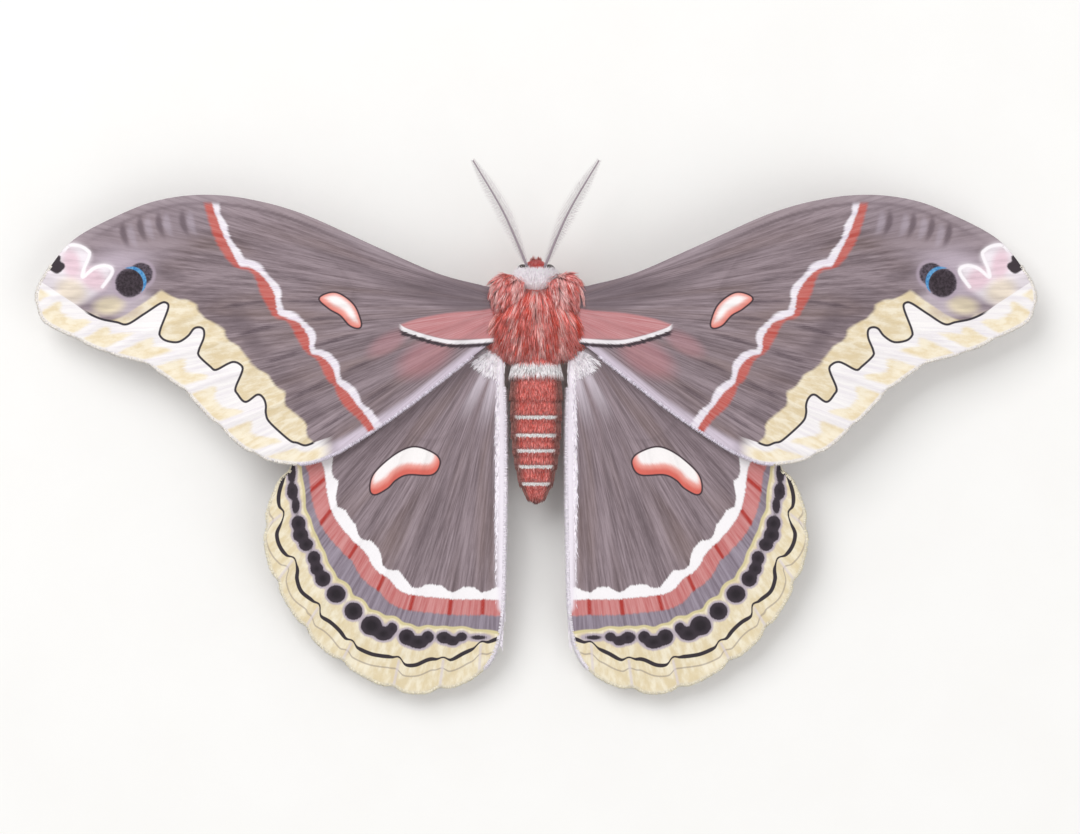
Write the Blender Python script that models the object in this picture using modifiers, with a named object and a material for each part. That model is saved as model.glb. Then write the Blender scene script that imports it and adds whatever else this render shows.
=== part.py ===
"""A life-size cecropia moth at rest with its wings spread.

Lengths are in metres and +Z is up. The head points along +Y and the feet stand on z = 0.
The shapes are worked out in the body's own frame, whose y = 0 is the middle of the thorax.
One empty then carries every piece to the place where the origin is under the middle of the moth.
"""

import math
import random

import bmesh
import bpy
from mathutils import Vector
from mathutils.geometry import delaunay_2d_cdt

MM = 0.001
GAP = 0.3 * MM
WELD = 0.001 * MM
SEED = 11

# Distance from the middle of the thorax back to the middle of the whole moth.
BODY_FORWARD = 16.35 * MM

# The wings share one arched sheet, with the forewing above it and the hindwing below it.
SHEET_Z = 9.6 * MM
SHEET_RISE = 0.9 * MM
SHEET_DROOP = 4.6 * MM
SHEET_REAR_DROP = 4.2 * MM
SHEET_FRONT_DROP = 0.9 * MM
SHEET_ROOT_X = 6.0 * MM
SHEET_SPAN = 69.0 * MM
SHEET_REAR = 50.0 * MM
SHEET_FRONT = 20.0 * MM
WING_STEP = 0.85 * MM
MEMBRANE = 0.55 * MM
VEIN = 1.0 * MM
VEIN_FOOT = 0.75 * MM
MARGIN_STEP = 2.6 * MM
VEIN_STEP = 3.9 * MM
GRID_STEP = 5.6 * MM
GRID_CLEAR = 2.4 * MM
NOTCH_WIDTH = 1.3 * MM

# Outlines and veins of the right wings in millimetres: x outwards, y forwards of the thorax's middle.
FOREWING = {
    "step": WING_STEP,
    "notch": 0.25 * MM,
    "outline": [
        (4.6, 4.2), (8.0, 5.1), (14.7, 6.9), (23.9, 10.9), (34.8, 15.8), (43.0, 18.1), (50.0, 18.8),
        (56.4, 18.1), (61.9, 16.2), (69.1, 12.5), (72.9, 8.4), (75.3, 3.9), (74.3, 0.2), (70.2, -2.2),
        (64.5, -4.8), (58.5, -6.6), (52.8, -10.6), (47.4, -16.0), (42.0, -20.2), (35.5, -21.6),
        (30.5, -20.3), (24.9, -17.0), (19.0, -12.9), (13.4, -8.6), (8.0, -4.4), (4.6, -1.9),
    ],
    "veins": {
        "subcosta": [(8.0, 4.0), (18.0, 7.2), (29.0, 12.3), (38.5, 16.0), (46.5, 18.6)],
        "radius_1": [(8.0, 2.8), (19.0, 5.6), (31.0, 10.2), (43.0, 14.7), (55.5, 18.3)],
        "radius_3": [(31.0, 10.2), (43.0, 12.2), (55.0, 14.2), (66.8, 13.8)],
        "radius_5": [(43.0, 12.2), (56.0, 10.4), (67.0, 6.2), (74.9, 2.0)],
        "media_1": [(27.5, 4.9), (42.0, 6.8), (58.0, 3.6), (69.2, -2.6)],
        "media_2": [(27.5, 2.4), (42.0, 2.6), (55.0, -0.6), (64.5, -4.8)],
        "media_3": [(25.5, 0.6), (38.0, -0.6), (49.0, -3.8), (58.5, -6.6)],
        "cubitus_1": [(22.0, -0.9), (33.0, -4.0), (43.5, -7.6), (52.8, -10.6)],
        "cubitus_2": [(15.5, -1.6), (27.0, -7.2), (38.0, -12.4), (47.4, -16.0)],
        "cubitus": [
            (8.0, 1.2), (15.5, -1.6), (22.0, -0.9), (25.5, 0.6), (27.5, 2.4), (27.5, 4.9), (31.0, 10.2),
        ],
        "anal": [(8.0, -0.6), (16.0, -6.0), (26.0, -12.6), (35.0, -17.8), (42.0, -20.2)],
    },
}
HINDWING = {
    "step": -WING_STEP,
    "notch": 0.4 * MM,
    "outline": [
        (4.9, -2.6), (8.0, -2.9), (13.5, -4.8), (21.0, -8.7), (28.5, -13.8), (34.5, -19.0), (37.9, -23.1),
        (40.0, -27.4), (40.9, -32.0), (39.9, -37.6), (37.5, -42.6), (34.0, -47.6), (29.4, -51.6),
        (23.6, -54.9), (18.2, -56.3), (12.5, -55.3), (8.6, -53.2), (6.2, -49.8), (5.1, -44.0),
        (4.8, -36.0), (4.75, -24.0), (4.75, -14.0), (4.9, -6.6),
    ],
    "veins": {
        "subcosta": [(8.0, -3.9), (18.0, -9.0), (28.0, -15.6), (37.4, -22.4)],
        "radius": [(8.0, -4.6), (15.0, -9.6), (21.0, -14.6), (31.0, -23.2), (40.5, -31.0)],
        "media_1": [(21.0, -14.6), (27.0, -23.6), (34.0, -32.6), (39.1, -39.4)],
        "media_2": [(19.0, -17.0), (23.5, -27.6), (29.5, -38.0), (34.9, -46.5)],
        "media_3": [(16.0, -18.0), (19.5, -30.0), (24.5, -42.0), (29.4, -51.6)],
        "cubitus_1": [(13.0, -17.0), (15.6, -30.0), (18.8, -43.0), (21.6, -55.5)],
        "cubitus_2": [(9.6, -13.0), (11.0, -28.0), (12.8, -42.0), (14.6, -55.9)],
        "cubitus": [(7.2, -5.8), (9.6, -13.0), (13.0, -17.0), (16.0, -18.0), (19.0, -17.0), (21.0, -14.6)],
        "anal": [(6.4, -6.8), (7.0, -20.0), (7.6, -36.0), (8.6, -53.2)],
    },
}

# The thorax is an egg with two shoulder lobes, and its hair lies along a longer egg.
THORAX_CENTRE = Vector((0.0, -0.5, 8.4)) * MM
THORAX_RADII = Vector((6.3, 5.9, 4.7)) * MM
COAT_CENTRE = Vector((0.0, -0.9, 8.4)) * MM
COAT_RADII = Vector((7.3, 8.2, 5.3)) * MM
LOBE_CENTRE = Vector((4.2, 4.3, 9.9)) * MM
LOBE_RADII = Vector((2.75, 2.8, 2.15)) * MM
LOCK_LENGTH = 4.6 * MM
LOCK_SHORTEST = 2.4 * MM
LOCK_WIDTH = 2.0 * MM
LOCK_THICK = 0.7 * MM
LOCK_SUNK = 1.0 * MM
LOCK_RISE = 0.4 * MM
LOCK_RINGS = (0.9, 1.0, 0.72)
TIERS = (4.4, 2.6, 0.7, -1.3, -3.3)
LOCKS_ROUND = 15
HEM_Y = -6.6 * MM
WING_ROOT_ANGLES = (50, 108)

# The collar and head follow each other forwards from the thorax.
COLLAR_Y = (5.0 * MM, 6.2 * MM)
COLLAR_Z = 8.9 * MM
COLLAR_RADIUS = 2.6 * MM
RUFF_ROWS = ((5.35 * MM, 9, 2.3 * MM), (5.9 * MM, 8, 2.0 * MM))
NECK_HALF_WIDTH = 3.1 * MM
HEAD_CENTRE = Vector((0.0, 7.25, 8.7)) * MM
HEAD_RADII = Vector((2.2, 1.75, 2.1)) * MM
HEAD_BACK_Y = COLLAR_Y[1] + GAP
EYE_CENTRE = Vector((1.95, 7.4, 8.5)) * MM
EYE_RADIUS = 0.95 * MM
FACE_ROWS = ((0.85, 3), (0.25, 4), (-0.4, 3))

# Each feeler leaves the top of the head and runs forwards and outwards to its tip.
FEELER_PATH = [(1.2, 7.7, 9.9), (1.7, 8.8, 10.7), (3.2, 12.4, 11.5), (5.4, 17.0, 11.9), (9.4, 23.7, 11.6)]
FEELER_RADIUS = (0.33 * MM, 0.29 * MM)
FEELER_STEP = 1.05 * MM
BARB_RADIUS = 0.25 * MM
BARB_ROOT = 0.07 * MM
BARB_TIP_RADIUS = 0.1 * MM
BARB_LENGTHS = (0.8 * MM, 2.0 * MM, 0.8 * MM)
BARB_SPLAY = 0.5

# The abdomen's segments end at these distances, each hem standing a step outside the next segment.
ABDOMEN_WAIST = (-4.2 * MM, 3.4 * MM)
ABDOMEN_HEMS = (-8.2, -11.6, -14.7, -17.4, -19.7, -22.1, -24.7, -26.8)
ABDOMEN_RADII = (4.1, 4.15, 4.1, 3.95, 3.75, 3.4, 2.8, 1.6)
ABDOMEN_STEP = 0.25 * MM
ABDOMEN_Z = (8.2 * MM, 6.7 * MM)
ABDOMEN_TIP = (-27.3 * MM, 0.8 * MM)
ABDOMEN_SIDES = 16

# Legs: hip, knee, ankle and toe in millimetres for the right side.
LEGS = {
    "front": [(2.2, 2.6, 5.3), (6.0, 3.4, 5.5), (8.4, 3.9, 1.3), (11.4, 3.6, 0.3)],
    "middle": [(2.6, -0.4, 5.0), (7.2, -0.8, 5.6), (10.2, -1.6, 1.3), (14.2, -2.6, 0.3)],
    "hind": [(2.8, -2.8, 4.8), (7.0, -8.0, 5.0), (8.8, -13.6, 1.3), (10.3, -19.4, 0.3)],
}
LEG_RADII = (0.95 * MM, 0.8 * MM, 0.5 * MM)
TARSUS_RADIUS = 0.44 * MM
TARSUS_BEADS = 5
TARSUS_WAIST = 0.8
CLAW_LENGTH = 0.9 * MM

COLOURS = {
    "thorax": ((0.62, 0.17, 0.13), 0.85),
    "collar": ((0.90, 0.87, 0.84), 0.85),
    "head": ((0.60, 0.15, 0.11), 0.85),
    "abdomen": ((0.46, 0.14, 0.10), 0.85),
    "eye": ((0.03, 0.02, 0.02), 0.25),
    "antenna": ((0.45, 0.41, 0.42), 0.7),
    "forewing": ((0.30, 0.25, 0.26), 0.8),
    "hindwing": ((0.33, 0.26, 0.27), 0.8),
    "leg": ((0.46, 0.18, 0.14), 0.85),
}


def clear_scene():
    for old in list(bpy.data.objects):
        bpy.data.objects.remove(old, do_unlink=True)


def materials():
    made = {}
    for name, (colour, roughness) in COLOURS.items():
        material = bpy.data.materials.new(name)
        material.use_nodes = True
        shader = material.node_tree.nodes["Principled BSDF"]
        shader.inputs["Base Color"].default_value = (*colour, 1.0)
        shader.inputs["Roughness"].default_value = roughness
        shader.inputs["Metallic"].default_value = 0.0
        made[name] = material
    return made


def mesh_object(name, shape, collection):
    """A mesh object made from a bmesh, which it frees."""
    bmesh.ops.recalc_face_normals(shape, faces=shape.faces)
    mesh = bpy.data.meshes.new(name)
    shape.to_mesh(mesh)
    shape.free()
    made = bpy.data.objects.new(name, mesh)
    collection.objects.link(made)
    return made


def side_x(point, side):
    """The point, or its mirror image where side is -1."""
    return Vector((point[0] * side, point[1], point[2]))


def curve_through(points, samples):
    """Points on a smooth curve through the given ones, samples to each stretch."""
    padded = [2 * points[0] - points[1], *points, 2 * points[-1] - points[-2]]
    found = []
    for a, b, c, d in zip(padded, padded[1:], padded[2:], padded[3:]):
        for k in range(samples):
            t = k / samples
            rising = (c - a) * t + (2 * a - 5 * b + 4 * c - d) * t * t + (3 * b - 3 * c + d - a) * t ** 3
            found.append(b + 0.5 * rising)
    return [*found, points[-1]]


def spaced(points, step):
    """The same curve with its points about one step apart, ends kept."""
    lengths = [0.0]
    for a, b in zip(points, points[1:]):
        lengths.append(lengths[-1] + (b - a).length)
    count = max(1, round(lengths[-1] / step))
    found = [points[0]]
    place = 0
    for k in range(1, count):
        wanted = lengths[-1] * k / count
        while lengths[place + 1] < wanted:
            place += 1
        share = (wanted - lengths[place]) / (lengths[place + 1] - lengths[place])
        found.append(points[place].lerp(points[place + 1], share))
    return [*found, points[-1]]


def loft(name, rings, collection):
    """One closed body through rings of points, where a ring of one point is a tip."""
    shape = bmesh.new()
    made = [[shape.verts.new(point) for point in ring] for ring in rings]
    for first, second in zip(made, made[1:]):
        sides = max(len(first), len(second))
        for k in range(sides):
            after = (k + 1) % sides
            if len(first) == 1:
                shape.faces.new((first[0], second[after], second[k]))
            elif len(second) == 1:
                shape.faces.new((first[k], first[after], second[0]))
            else:
                shape.faces.new((first[k], first[after], second[after], second[k]))
    for ring in (made[0], made[-1]):
        if len(ring) > 2:
            shape.faces.new(ring)
    return mesh_object(name, shape, collection)


def tube(name, points, radii, sides, collection):
    """A round tube along the points, with one radius for each: a bevelled curve made a closed mesh."""
    curve = bpy.data.curves.new(name, "CURVE")
    curve.dimensions = "3D"
    curve.bevel_depth = 1.0
    curve.bevel_resolution = (sides - 4) // 2
    curve.use_fill_caps = True
    spline = curve.splines.new("POLY")
    spline.points.add(len(points) - 1)
    for node, point, radius in zip(spline.points, points, radii):
        node.co = (*point, 1.0)
        node.radius = radius
    wire = bpy.data.objects.new(name, curve)
    collection.objects.link(wire)
    bpy.context.view_layer.update()
    graph = bpy.context.evaluated_depsgraph_get()
    mesh = bpy.data.meshes.new_from_object(wire.evaluated_get(graph))
    bpy.data.objects.remove(wire, do_unlink=True)
    shape = bmesh.new()
    shape.from_mesh(mesh)
    bpy.data.meshes.remove(mesh)
    bmesh.ops.remove_doubles(shape, verts=shape.verts, dist=WELD)
    return mesh_object(name, shape, collection)


def egg(name, centre, radii, grow, collection, rounds=16):
    """An ellipsoid, grown by one distance on every side."""
    shape = bmesh.new()
    bmesh.ops.create_uvsphere(shape, u_segments=rounds, v_segments=rounds * 5 // 8, radius=1.0)
    for vertex in shape.verts:
        vertex.co = centre + Vector(vertex.co[k] * (radii[k] + grow) for k in range(3))
    return mesh_object(name, shape, collection)


def block(name, low, high, collection):
    """A box between two corners."""
    shape = bmesh.new()
    bmesh.ops.create_cube(shape, size=1.0)
    for vertex in shape.verts:
        vertex.co = Vector(high[k] if vertex.co[k] > 0 else low[k] for k in range(3))
    return mesh_object(name, shape, collection)


def islands(shape):
    """The connected groups of faces in a bmesh."""
    waiting = set(shape.faces)
    groups = []
    while waiting:
        group = set()
        edge_of = [waiting.pop()]
        while edge_of:
            face = edge_of.pop()
            group.add(face)
            for edge in face.edges:
                for other in edge.link_faces:
                    if other in waiting:
                        waiting.discard(other)
                        edge_of.append(other)
        groups.append(group)
    return groups


def signed_volume(faces):
    total = 0.0
    for face in faces:
        corners = [vertex.co for vertex in face.verts]
        for b, c in zip(corners[1:], corners[2:]):
            total += corners[0].dot(b.cross(c)) / 6
    return total


def keep_largest(item):
    """Leaves only the closed surface of the largest volume."""
    shape = bmesh.new()
    shape.from_mesh(item.data)
    groups = sorted(islands(shape), key=signed_volume)
    loose = [face for group in groups[:-1] for face in group]
    bmesh.ops.delete(shape, geom=loose, context="FACES")
    shape.to_mesh(item.data)
    shape.free()


def combined(item, others, operation, solver="EXACT"):
    """One Boolean of the item with all the others, applied, and the others removed."""
    group = bpy.data.collections.new(item.name + "_" + operation.lower())
    bpy.context.scene.collection.children.link(group)
    for other in others:
        for holder in list(other.users_collection):
            holder.objects.unlink(other)
        group.objects.link(other)
    modifier = item.modifiers.new(operation.title(), "BOOLEAN")
    modifier.operation = operation
    modifier.solver = solver
    modifier.operand_type = "COLLECTION"
    modifier.collection = group
    bpy.context.view_layer.update()
    graph = bpy.context.evaluated_depsgraph_get()
    result = bpy.data.meshes.new_from_object(item.evaluated_get(graph))
    item.modifiers.clear()
    item.data = result
    for other in others:
        bpy.data.objects.remove(other, do_unlink=True)
    bpy.data.collections.remove(group)
    return item


def sheet_z(x, y):
    """Height of the arched sheet that lies between the two pairs of wings."""
    span = max(0.0, abs(x) - SHEET_ROOT_X) / SHEET_SPAN
    behind = max(0.0, -y) / SHEET_REAR
    ahead = max(0.0, y) / SHEET_FRONT
    arch = SHEET_RISE * math.sin(math.pi * min(1.0, 1.4 * span)) - SHEET_DROOP * span ** 1.6
    return SHEET_Z + arch - SHEET_REAR_DROP * behind ** 2 - SHEET_FRONT_DROP * ahead ** 2


def wing_margin(wing):
    """The wing's outline as evenly spaced points, one of them at each vein's end, notched there."""
    fine = curve_through([Vector(p) * MM for p in wing["outline"]], 24)
    ends = [Vector(vein[-1]) * MM for vein in wing["veins"].values()]
    fixed = {0, len(fine) - 1}
    for end in ends:
        nearest = min(range(len(fine)), key=lambda k: (fine[k] - end).length)
        if (fine[nearest] - end).length < MARGIN_STEP / 2:
            fixed.add(nearest)
    stops = sorted(fixed)
    margin = [fine[0]]
    for a, b in zip(stops, stops[1:]):
        margin += spaced(fine[a : b + 1], MARGIN_STEP)[1:]
    middle = sum(margin, Vector((0.0, 0.0))) / len(margin)
    notched = []
    for point in margin:
        near = min((fine[k] - point).length for k in stops[1:-1])
        depth = wing["notch"] * math.exp(-((near / NOTCH_WIDTH) ** 2))
        notched.append(point + (middle - point).normalized() * depth)
    return notched


def pushed_out(outline, distance):
    """A closed outline that runs anticlockwise or clockwise, moved outwards by one distance."""
    turn = sum(a.x * b.y - b.x * a.y for a, b in zip(outline, outline[1:] + outline[:1]))
    sign = 1.0 if turn > 0 else -1.0
    moved = []
    for before, point, after in zip(outline[-1:] + outline[:-1], outline, outline[1:] + outline[:1]):
        along = (after - point).normalized() + (point - before).normalized()
        outward = Vector((along.y, -along.x)).normalized() * sign
        moved.append(point + outward * distance)
    return moved


def inside(point, outline):
    """Whether a 2D point lies in a closed outline."""
    found = False
    for a, b in zip(outline, outline[1:] + outline[:1]):
        if (a.y > point.y) != (b.y > point.y):
            crossing = a.x + (point.y - a.y) / (b.y - a.y) * (b.x - a.x)
            found ^= point.x < crossing
    return found


def wing_points(wing, margin):
    """2D points of a wing with a vein weight each, and the edges that they must keep."""
    points = [(point, 0.0) for point in margin]
    edges = [(k, (k + 1) % len(margin)) for k in range(len(margin))]
    feet = []
    for vein in wing["veins"].values():
        crest = spaced(curve_through([Vector(p) * MM for p in vein], 12), VEIN_STEP)
        before = None
        for k, point in enumerate(crest):
            nearest = min(range(len(points)), key=lambda j: (points[j][0] - point).length)
            if (points[nearest][0] - point).length < VEIN_STEP / 3:
                index = nearest
            else:
                index = len(points)
                points.append((point, 1.0))
                along = (crest[min(k + 1, len(crest) - 1)] - crest[k - 1 if k else 0]).normalized()
                across = Vector((-along.y, along.x)) * VEIN_FOOT
                feet += [point + across, point - across]
            if before is not None and before != index:
                edges.append((before, index))
            before = index
    crests = list(points)
    for foot in feet:
        clear = min((foot - other).length for other, _ in crests) > 0.8 * VEIN_FOOT
        if clear and inside(foot, margin):
            points.append((foot, 0.0))
    low = [min(p[k] for p in margin) for k in range(2)]
    high = [max(p[k] for p in margin) for k in range(2)]
    rows = int((high[1] - low[1]) / GRID_STEP) + 1
    columns = int((high[0] - low[0]) / GRID_STEP) + 1
    for row in range(rows):
        for column in range(columns):
            x = low[0] + (column + 0.5 * (row % 2)) * GRID_STEP
            candidate = Vector((x, low[1] + row * GRID_STEP))
            if inside(candidate, margin) and min((candidate - p).length for p, _ in points) > GRID_CLEAR:
                points.append((candidate, 0.0))
    return points, edges


def wing_sheet(name, wing, side, points, edges, outline_count, collection):
    """The wing's middle surface as an open mesh, with a vertex group that marks its veins."""
    flat = [point for point, _ in points]
    result = delaunay_2d_cdt(flat, edges, [list(range(outline_count))], 1, 1e-7)
    mesh = bpy.data.meshes.new(name)
    corners = [(p.x * side, p.y, sheet_z(p.x, p.y) + wing["step"]) for p in result[0]]
    faces = [face if side > 0 else face[::-1] for face in result[2]]
    mesh.from_pydata(corners, [], faces)
    made = bpy.data.objects.new(name, mesh)
    collection.objects.link(made)
    group = made.vertex_groups.new(name="vein")
    for index, sources in enumerate(result[3]):
        weight = max((points[k][1] for k in sources), default=1.0)
        group.add([index], weight, "REPLACE")
    return made


def thicken(item, membrane, vein):
    modifier = item.modifiers.new("Solidify", "SOLIDIFY")
    modifier.thickness = vein
    modifier.offset = 0.0
    modifier.vertex_group = "vein"
    modifier.thickness_vertex_group = membrane / vein
    return item


def wing(name, plan, side, collection):
    """One wing: a thin arched membrane whose veins stand out of both faces."""
    margin = wing_margin(plan)
    points, edges = wing_points(plan, margin)
    made = wing_sheet(name, plan, side, points, edges, len(margin), collection)
    return thicken(made, MEMBRANE, VEIN)


def wing_cutter(name, plan, side, collection):
    """The same wing without veins, larger by the gap on every side."""
    margin = pushed_out(wing_margin(plan), GAP)
    points, edges = wing_points({"veins": {}}, margin)
    made = wing_sheet(name, plan, side, points, edges, len(margin), collection)
    return thicken(made, MEMBRANE + 2 * GAP, MEMBRANE + 2 * GAP)


def lock(name, path, normals, width, thick, collection):
    """One flat lock of hair: four-sided rings that narrow to a tip at the path's last point."""
    rings = []
    for k, share in enumerate(LOCK_RINGS):
        along = (path[k + 1] - path[k]).normalized()
        across = along.cross(normals[k]).normalized()
        up = across.cross(along).normalized()
        half_width = across * width * share / 2
        half_thick = up * thick * share / 2
        rings.append([path[k] + half_width, path[k] + half_thick, path[k] - half_width, path[k] - half_thick])
    return loft(name, [*rings, [path[-1]]], collection)


def egg_surface(point, centre, radii):
    """The ellipsoid's surface point in the direction of a point, and its normal."""
    scaled = Vector((point[k] - centre[k]) / radii[k] for k in range(3)).normalized()
    surface = centre + Vector(scaled[k] * radii[k] for k in range(3))
    normal = Vector(scaled[k] / radii[k] for k in range(3)).normalized()
    return surface, normal


def lying_path(root, flow, centre, radii, length, rise):
    """Points of a lock that starts under the root and lies along an ellipsoid in the flow's direction."""
    path, normals = [], []
    steps = len(LOCK_RINGS)
    here = root
    for k in range(steps + 1):
        surface, normal = egg_surface(here, centre, radii)
        share = k / steps
        height = -LOCK_SUNK * (1 - share) ** 2 + rise * share
        path.append(surface + normal * height)
        normals.append(normal)
        tangent = (flow - normal * flow.dot(normal)).normalized()
        here = surface + tangent * length / steps
    return path, normals


def thorax_locks(draw, collection):
    """The thorax's long hair: tiers of locks that lie backwards and end in a ragged hem."""
    made = []
    clear_from, clear_to = (math.radians(angle) for angle in WING_ROOT_ANGLES)
    for tier, y in enumerate(TIERS):
        for k in range(LOCKS_ROUND):
            turn = 2 * math.pi * (k + 0.5 * (tier % 2) + draw.uniform(-0.12, 0.12)) / LOCKS_ROUND
            turn = (turn + math.pi) % (2 * math.pi) - math.pi
            stretch = draw.uniform(0.85, 1.12)
            sway = draw.uniform(-0.14, 0.14)
            if clear_from < abs(turn) < clear_to:
                continue
            aim = Vector((math.sin(turn) * COAT_RADII.x, 0.0, math.cos(turn) * COAT_RADII.z))
            aim.y = y * MM - COAT_CENTRE.y
            root, _ = egg_surface(COAT_CENTRE + aim, COAT_CENTRE, COAT_RADII)
            flow = Vector((0.5 * math.sin(turn) + sway, -1.0, 0.0))
            to_hem = root.y - HEM_Y + 0.5 * MM * draw.uniform(-1, 1)
            length = min(LOCK_LENGTH * stretch, max(LOCK_SHORTEST, to_hem))
            path, normals = lying_path(root, flow, COAT_CENTRE, COAT_RADII, length, LOCK_RISE * stretch)
            made.append(lock("lock", path, normals, LOCK_WIDTH * stretch, LOCK_THICK, collection))
    return made


def lobe_locks(side, draw, collection):
    """Hair that lies back over one shoulder lobe, in rows from its front to its rear."""
    made = []
    centre = side_x(LOBE_CENTRE, side)
    for row, (forward, count) in enumerate(((68, 4), (32, 5), (0, 5))):
        for k in range(count):
            turn = math.radians(-78 + 156 * (k + 0.5) / count)
            ahead = math.radians(forward + draw.uniform(-5, 5))
            round_part = math.cos(ahead)
            aim = Vector((math.sin(turn) * round_part * side, math.sin(ahead), math.cos(turn) * round_part))
            start = centre + Vector(aim[j] * LOBE_RADII[j] for j in range(3))
            flow = Vector((side * 0.35 + draw.uniform(-0.15, 0.15), -1.0, 0.1))
            length = LOCK_LENGTH * draw.uniform(0.55, 0.7)
            path, normals = lying_path(start, flow, centre, LOBE_RADII, length, LOCK_RISE)
            made.append(lock("lobe_lock", path, normals, LOCK_WIDTH * 0.85, LOCK_THICK, collection))
    return made


def abdomen(name, grow, collection):
    """The abdomen: each segment swells to its hem, and the next one starts a step inside it."""
    start, last = ABDOMEN_WAIST[0], ABDOMEN_TIP[0]
    stations = [ABDOMEN_WAIST]
    for hem, radius, after in zip(ABDOMEN_HEMS, ABDOMEN_RADII, (*ABDOMEN_RADII[1:], 0.0)):
        stations.append((hem * MM, radius * MM))
        if after:
            inner = min(radius, after) * MM - ABDOMEN_STEP
            stations.append((hem * MM - 0.3 * MM, inner))
    stations.append(ABDOMEN_TIP)
    points = []
    for y, _ in stations:
        share = (y - start) / (last - start)
        points.append(Vector((0.0, y, ABDOMEN_Z[0] + (ABDOMEN_Z[1] - ABDOMEN_Z[0]) * share * share)))
    points[0].y += grow
    return tube(name, points, [radius + grow for _, radius in stations], ABDOMEN_SIDES, collection)


def leg_path(leg_name, side):
    """The leg's centre line from its hip to its toe, with a radius at each point."""
    hip, knee, ankle, toe = (side_x(Vector(p) * MM, side) for p in LEGS[leg_name])
    thick, middle, thin = LEG_RADII
    heel = ankle.lerp(toe, 0.22)
    heel.z = toe.z
    path = [hip, hip.lerp(knee, 0.5), knee, knee.lerp(ankle, 0.45), ankle]
    radii = [thick, thick, middle, middle, thin]
    beads = 2 * TARSUS_BEADS
    for k in range(beads):
        path.append(heel.lerp(toe, k / (beads - 1)))
        radii.append(TARSUS_RADIUS * (TARSUS_WAIST if k % 2 else 1.0))
    return path, radii


def cut_by_plane(item, point, normal):
    """Cuts away what lies on the normal's side of a plane and closes the cut."""
    shape = bmesh.new()
    shape.from_mesh(item.data)
    geometry = shape.verts[:] + shape.edges[:] + shape.faces[:]
    bmesh.ops.bisect_plane(shape, geom=geometry, plane_co=point, plane_no=normal, clear_outer=True)
    rim = [edge for edge in shape.edges if edge.is_boundary]
    bmesh.ops.holes_fill(shape, edges=rim, sides=0)
    bmesh.ops.recalc_face_normals(shape, faces=shape.faces)
    shape.to_mesh(item.data)
    shape.free()


def claws(path, collection):
    """Two small hooked claws at the end of a foot."""
    toe = path[-1]
    along = (toe - path[-2]).normalized()
    across = along.cross(Vector((0.0, 0.0, 1.0)))
    up = Vector((0.0, 0.0, 0.16 * MM))
    made = []
    for way in (-1, 1):
        start = toe - along * 0.3 * MM + across * way * 0.08 * MM
        bend = toe + along * CLAW_LENGTH * 0.5 + across * way * 0.32 * MM + up
        end = toe + along * CLAW_LENGTH + across * way * 0.42 * MM - up * 0.6
        made.append(tube("claw", [start, bend, end], [0.26 * MM, 0.22 * MM, 0.1 * MM], 4, collection))
    return made


def leg(leg_name, side, side_name, collection):
    """Three lengths of one leg, parted by thin cuts at the knee and the ankle."""
    path, radii = leg_path(leg_name, side)
    knee, ankle = path[2], path[4]
    knee_normal = ((path[2] - path[1]).normalized() + (path[3] - path[2]).normalized()).normalized()
    ankle_normal = ((path[4] - path[3]).normalized() + (path[5] - path[4]).normalized()).normalized()
    half = GAP / 2
    base = f"leg_{leg_name}_{side_name}_"
    femur = tube(base + "femur", path[:4], radii[:4], 8, collection)
    cut_by_plane(femur, knee - knee_normal * half, knee_normal)
    tibia = tube(base + "tibia", path[1:7], radii[1:7], 8, collection)
    cut_by_plane(tibia, knee + knee_normal * half, -knee_normal)
    cut_by_plane(tibia, ankle - ankle_normal * half, ankle_normal)
    tarsus = tube(base + "tarsus", path[3:], radii[3:], 8, collection)
    cut_by_plane(tarsus, ankle + ankle_normal * half, -ankle_normal)
    combined(tarsus, claws(path, collection), "UNION")
    for vertex in tarsus.data.vertices:
        vertex.co.z = max(vertex.co.z, 0.0)
    return [femur, tibia, tarsus]


def hip_cutter(leg_name, side, collection):
    path, radii = leg_path(leg_name, side)
    start = path[0] - (path[1] - path[0]).normalized() * GAP
    grown = [radius + GAP for radius in radii[:4]]
    return tube("hip_cutter", [start, *path[1:4]], grown, 8, collection)


def feeler_line(side):
    points = [side_x(Vector(p) * MM, side) for p in FEELER_PATH]
    return spaced(curve_through(points, 16), FEELER_STEP)


def barb_length(share):
    """Barbs grow from the feeler's root to its middle and shorten again to the tip."""
    low, middle, high = BARB_LENGTHS
    end, way = (low, share / 0.45) if share < 0.45 else (high, (1 - share) / 0.4)
    return end + (middle - end) * math.sin(math.pi / 2 * min(1.0, way))


def feeler(name, side, collection):
    """A feeler: a tapering shaft with a row of barbs on either side, joined into one body."""
    line = feeler_line(side)
    last = len(line) - 1
    start, end = FEELER_RADIUS
    shaft = tube(name, line, [start + (end - start) * k / last for k in range(last + 1)], 6, collection)
    barbs = []
    for k in range(2, last):
        length = barb_length((k - 2) / (last - 3))
        along = (line[k + 1] - line[k - 1]).normalized()
        across = along.cross(Vector((0.0, 0.0, 1.0))).normalized()
        for way in (-1, 1):
            aim = (across * way + along * BARB_SPLAY).normalized()
            bent = (aim + along * 0.3).normalized()
            root = line[k] + across * way * BARB_ROOT
            points = [root, root + aim * length * 0.55, root + bent * length]
            radii = [BARB_RADIUS, BARB_RADIUS * 0.85, BARB_TIP_RADIUS]
            barbs.append(tube("barb", points, radii, 4, collection))
    return combined(shaft, barbs, "UNION")


def feeler_cutter(side, collection):
    line = feeler_line(side)
    start = line[0] - (line[1] - line[0]).normalized() * GAP
    grown = [FEELER_RADIUS[0] + GAP] * 4
    return tube("feeler_cutter", [start, *line[1:4]], grown, 8, collection)


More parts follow.
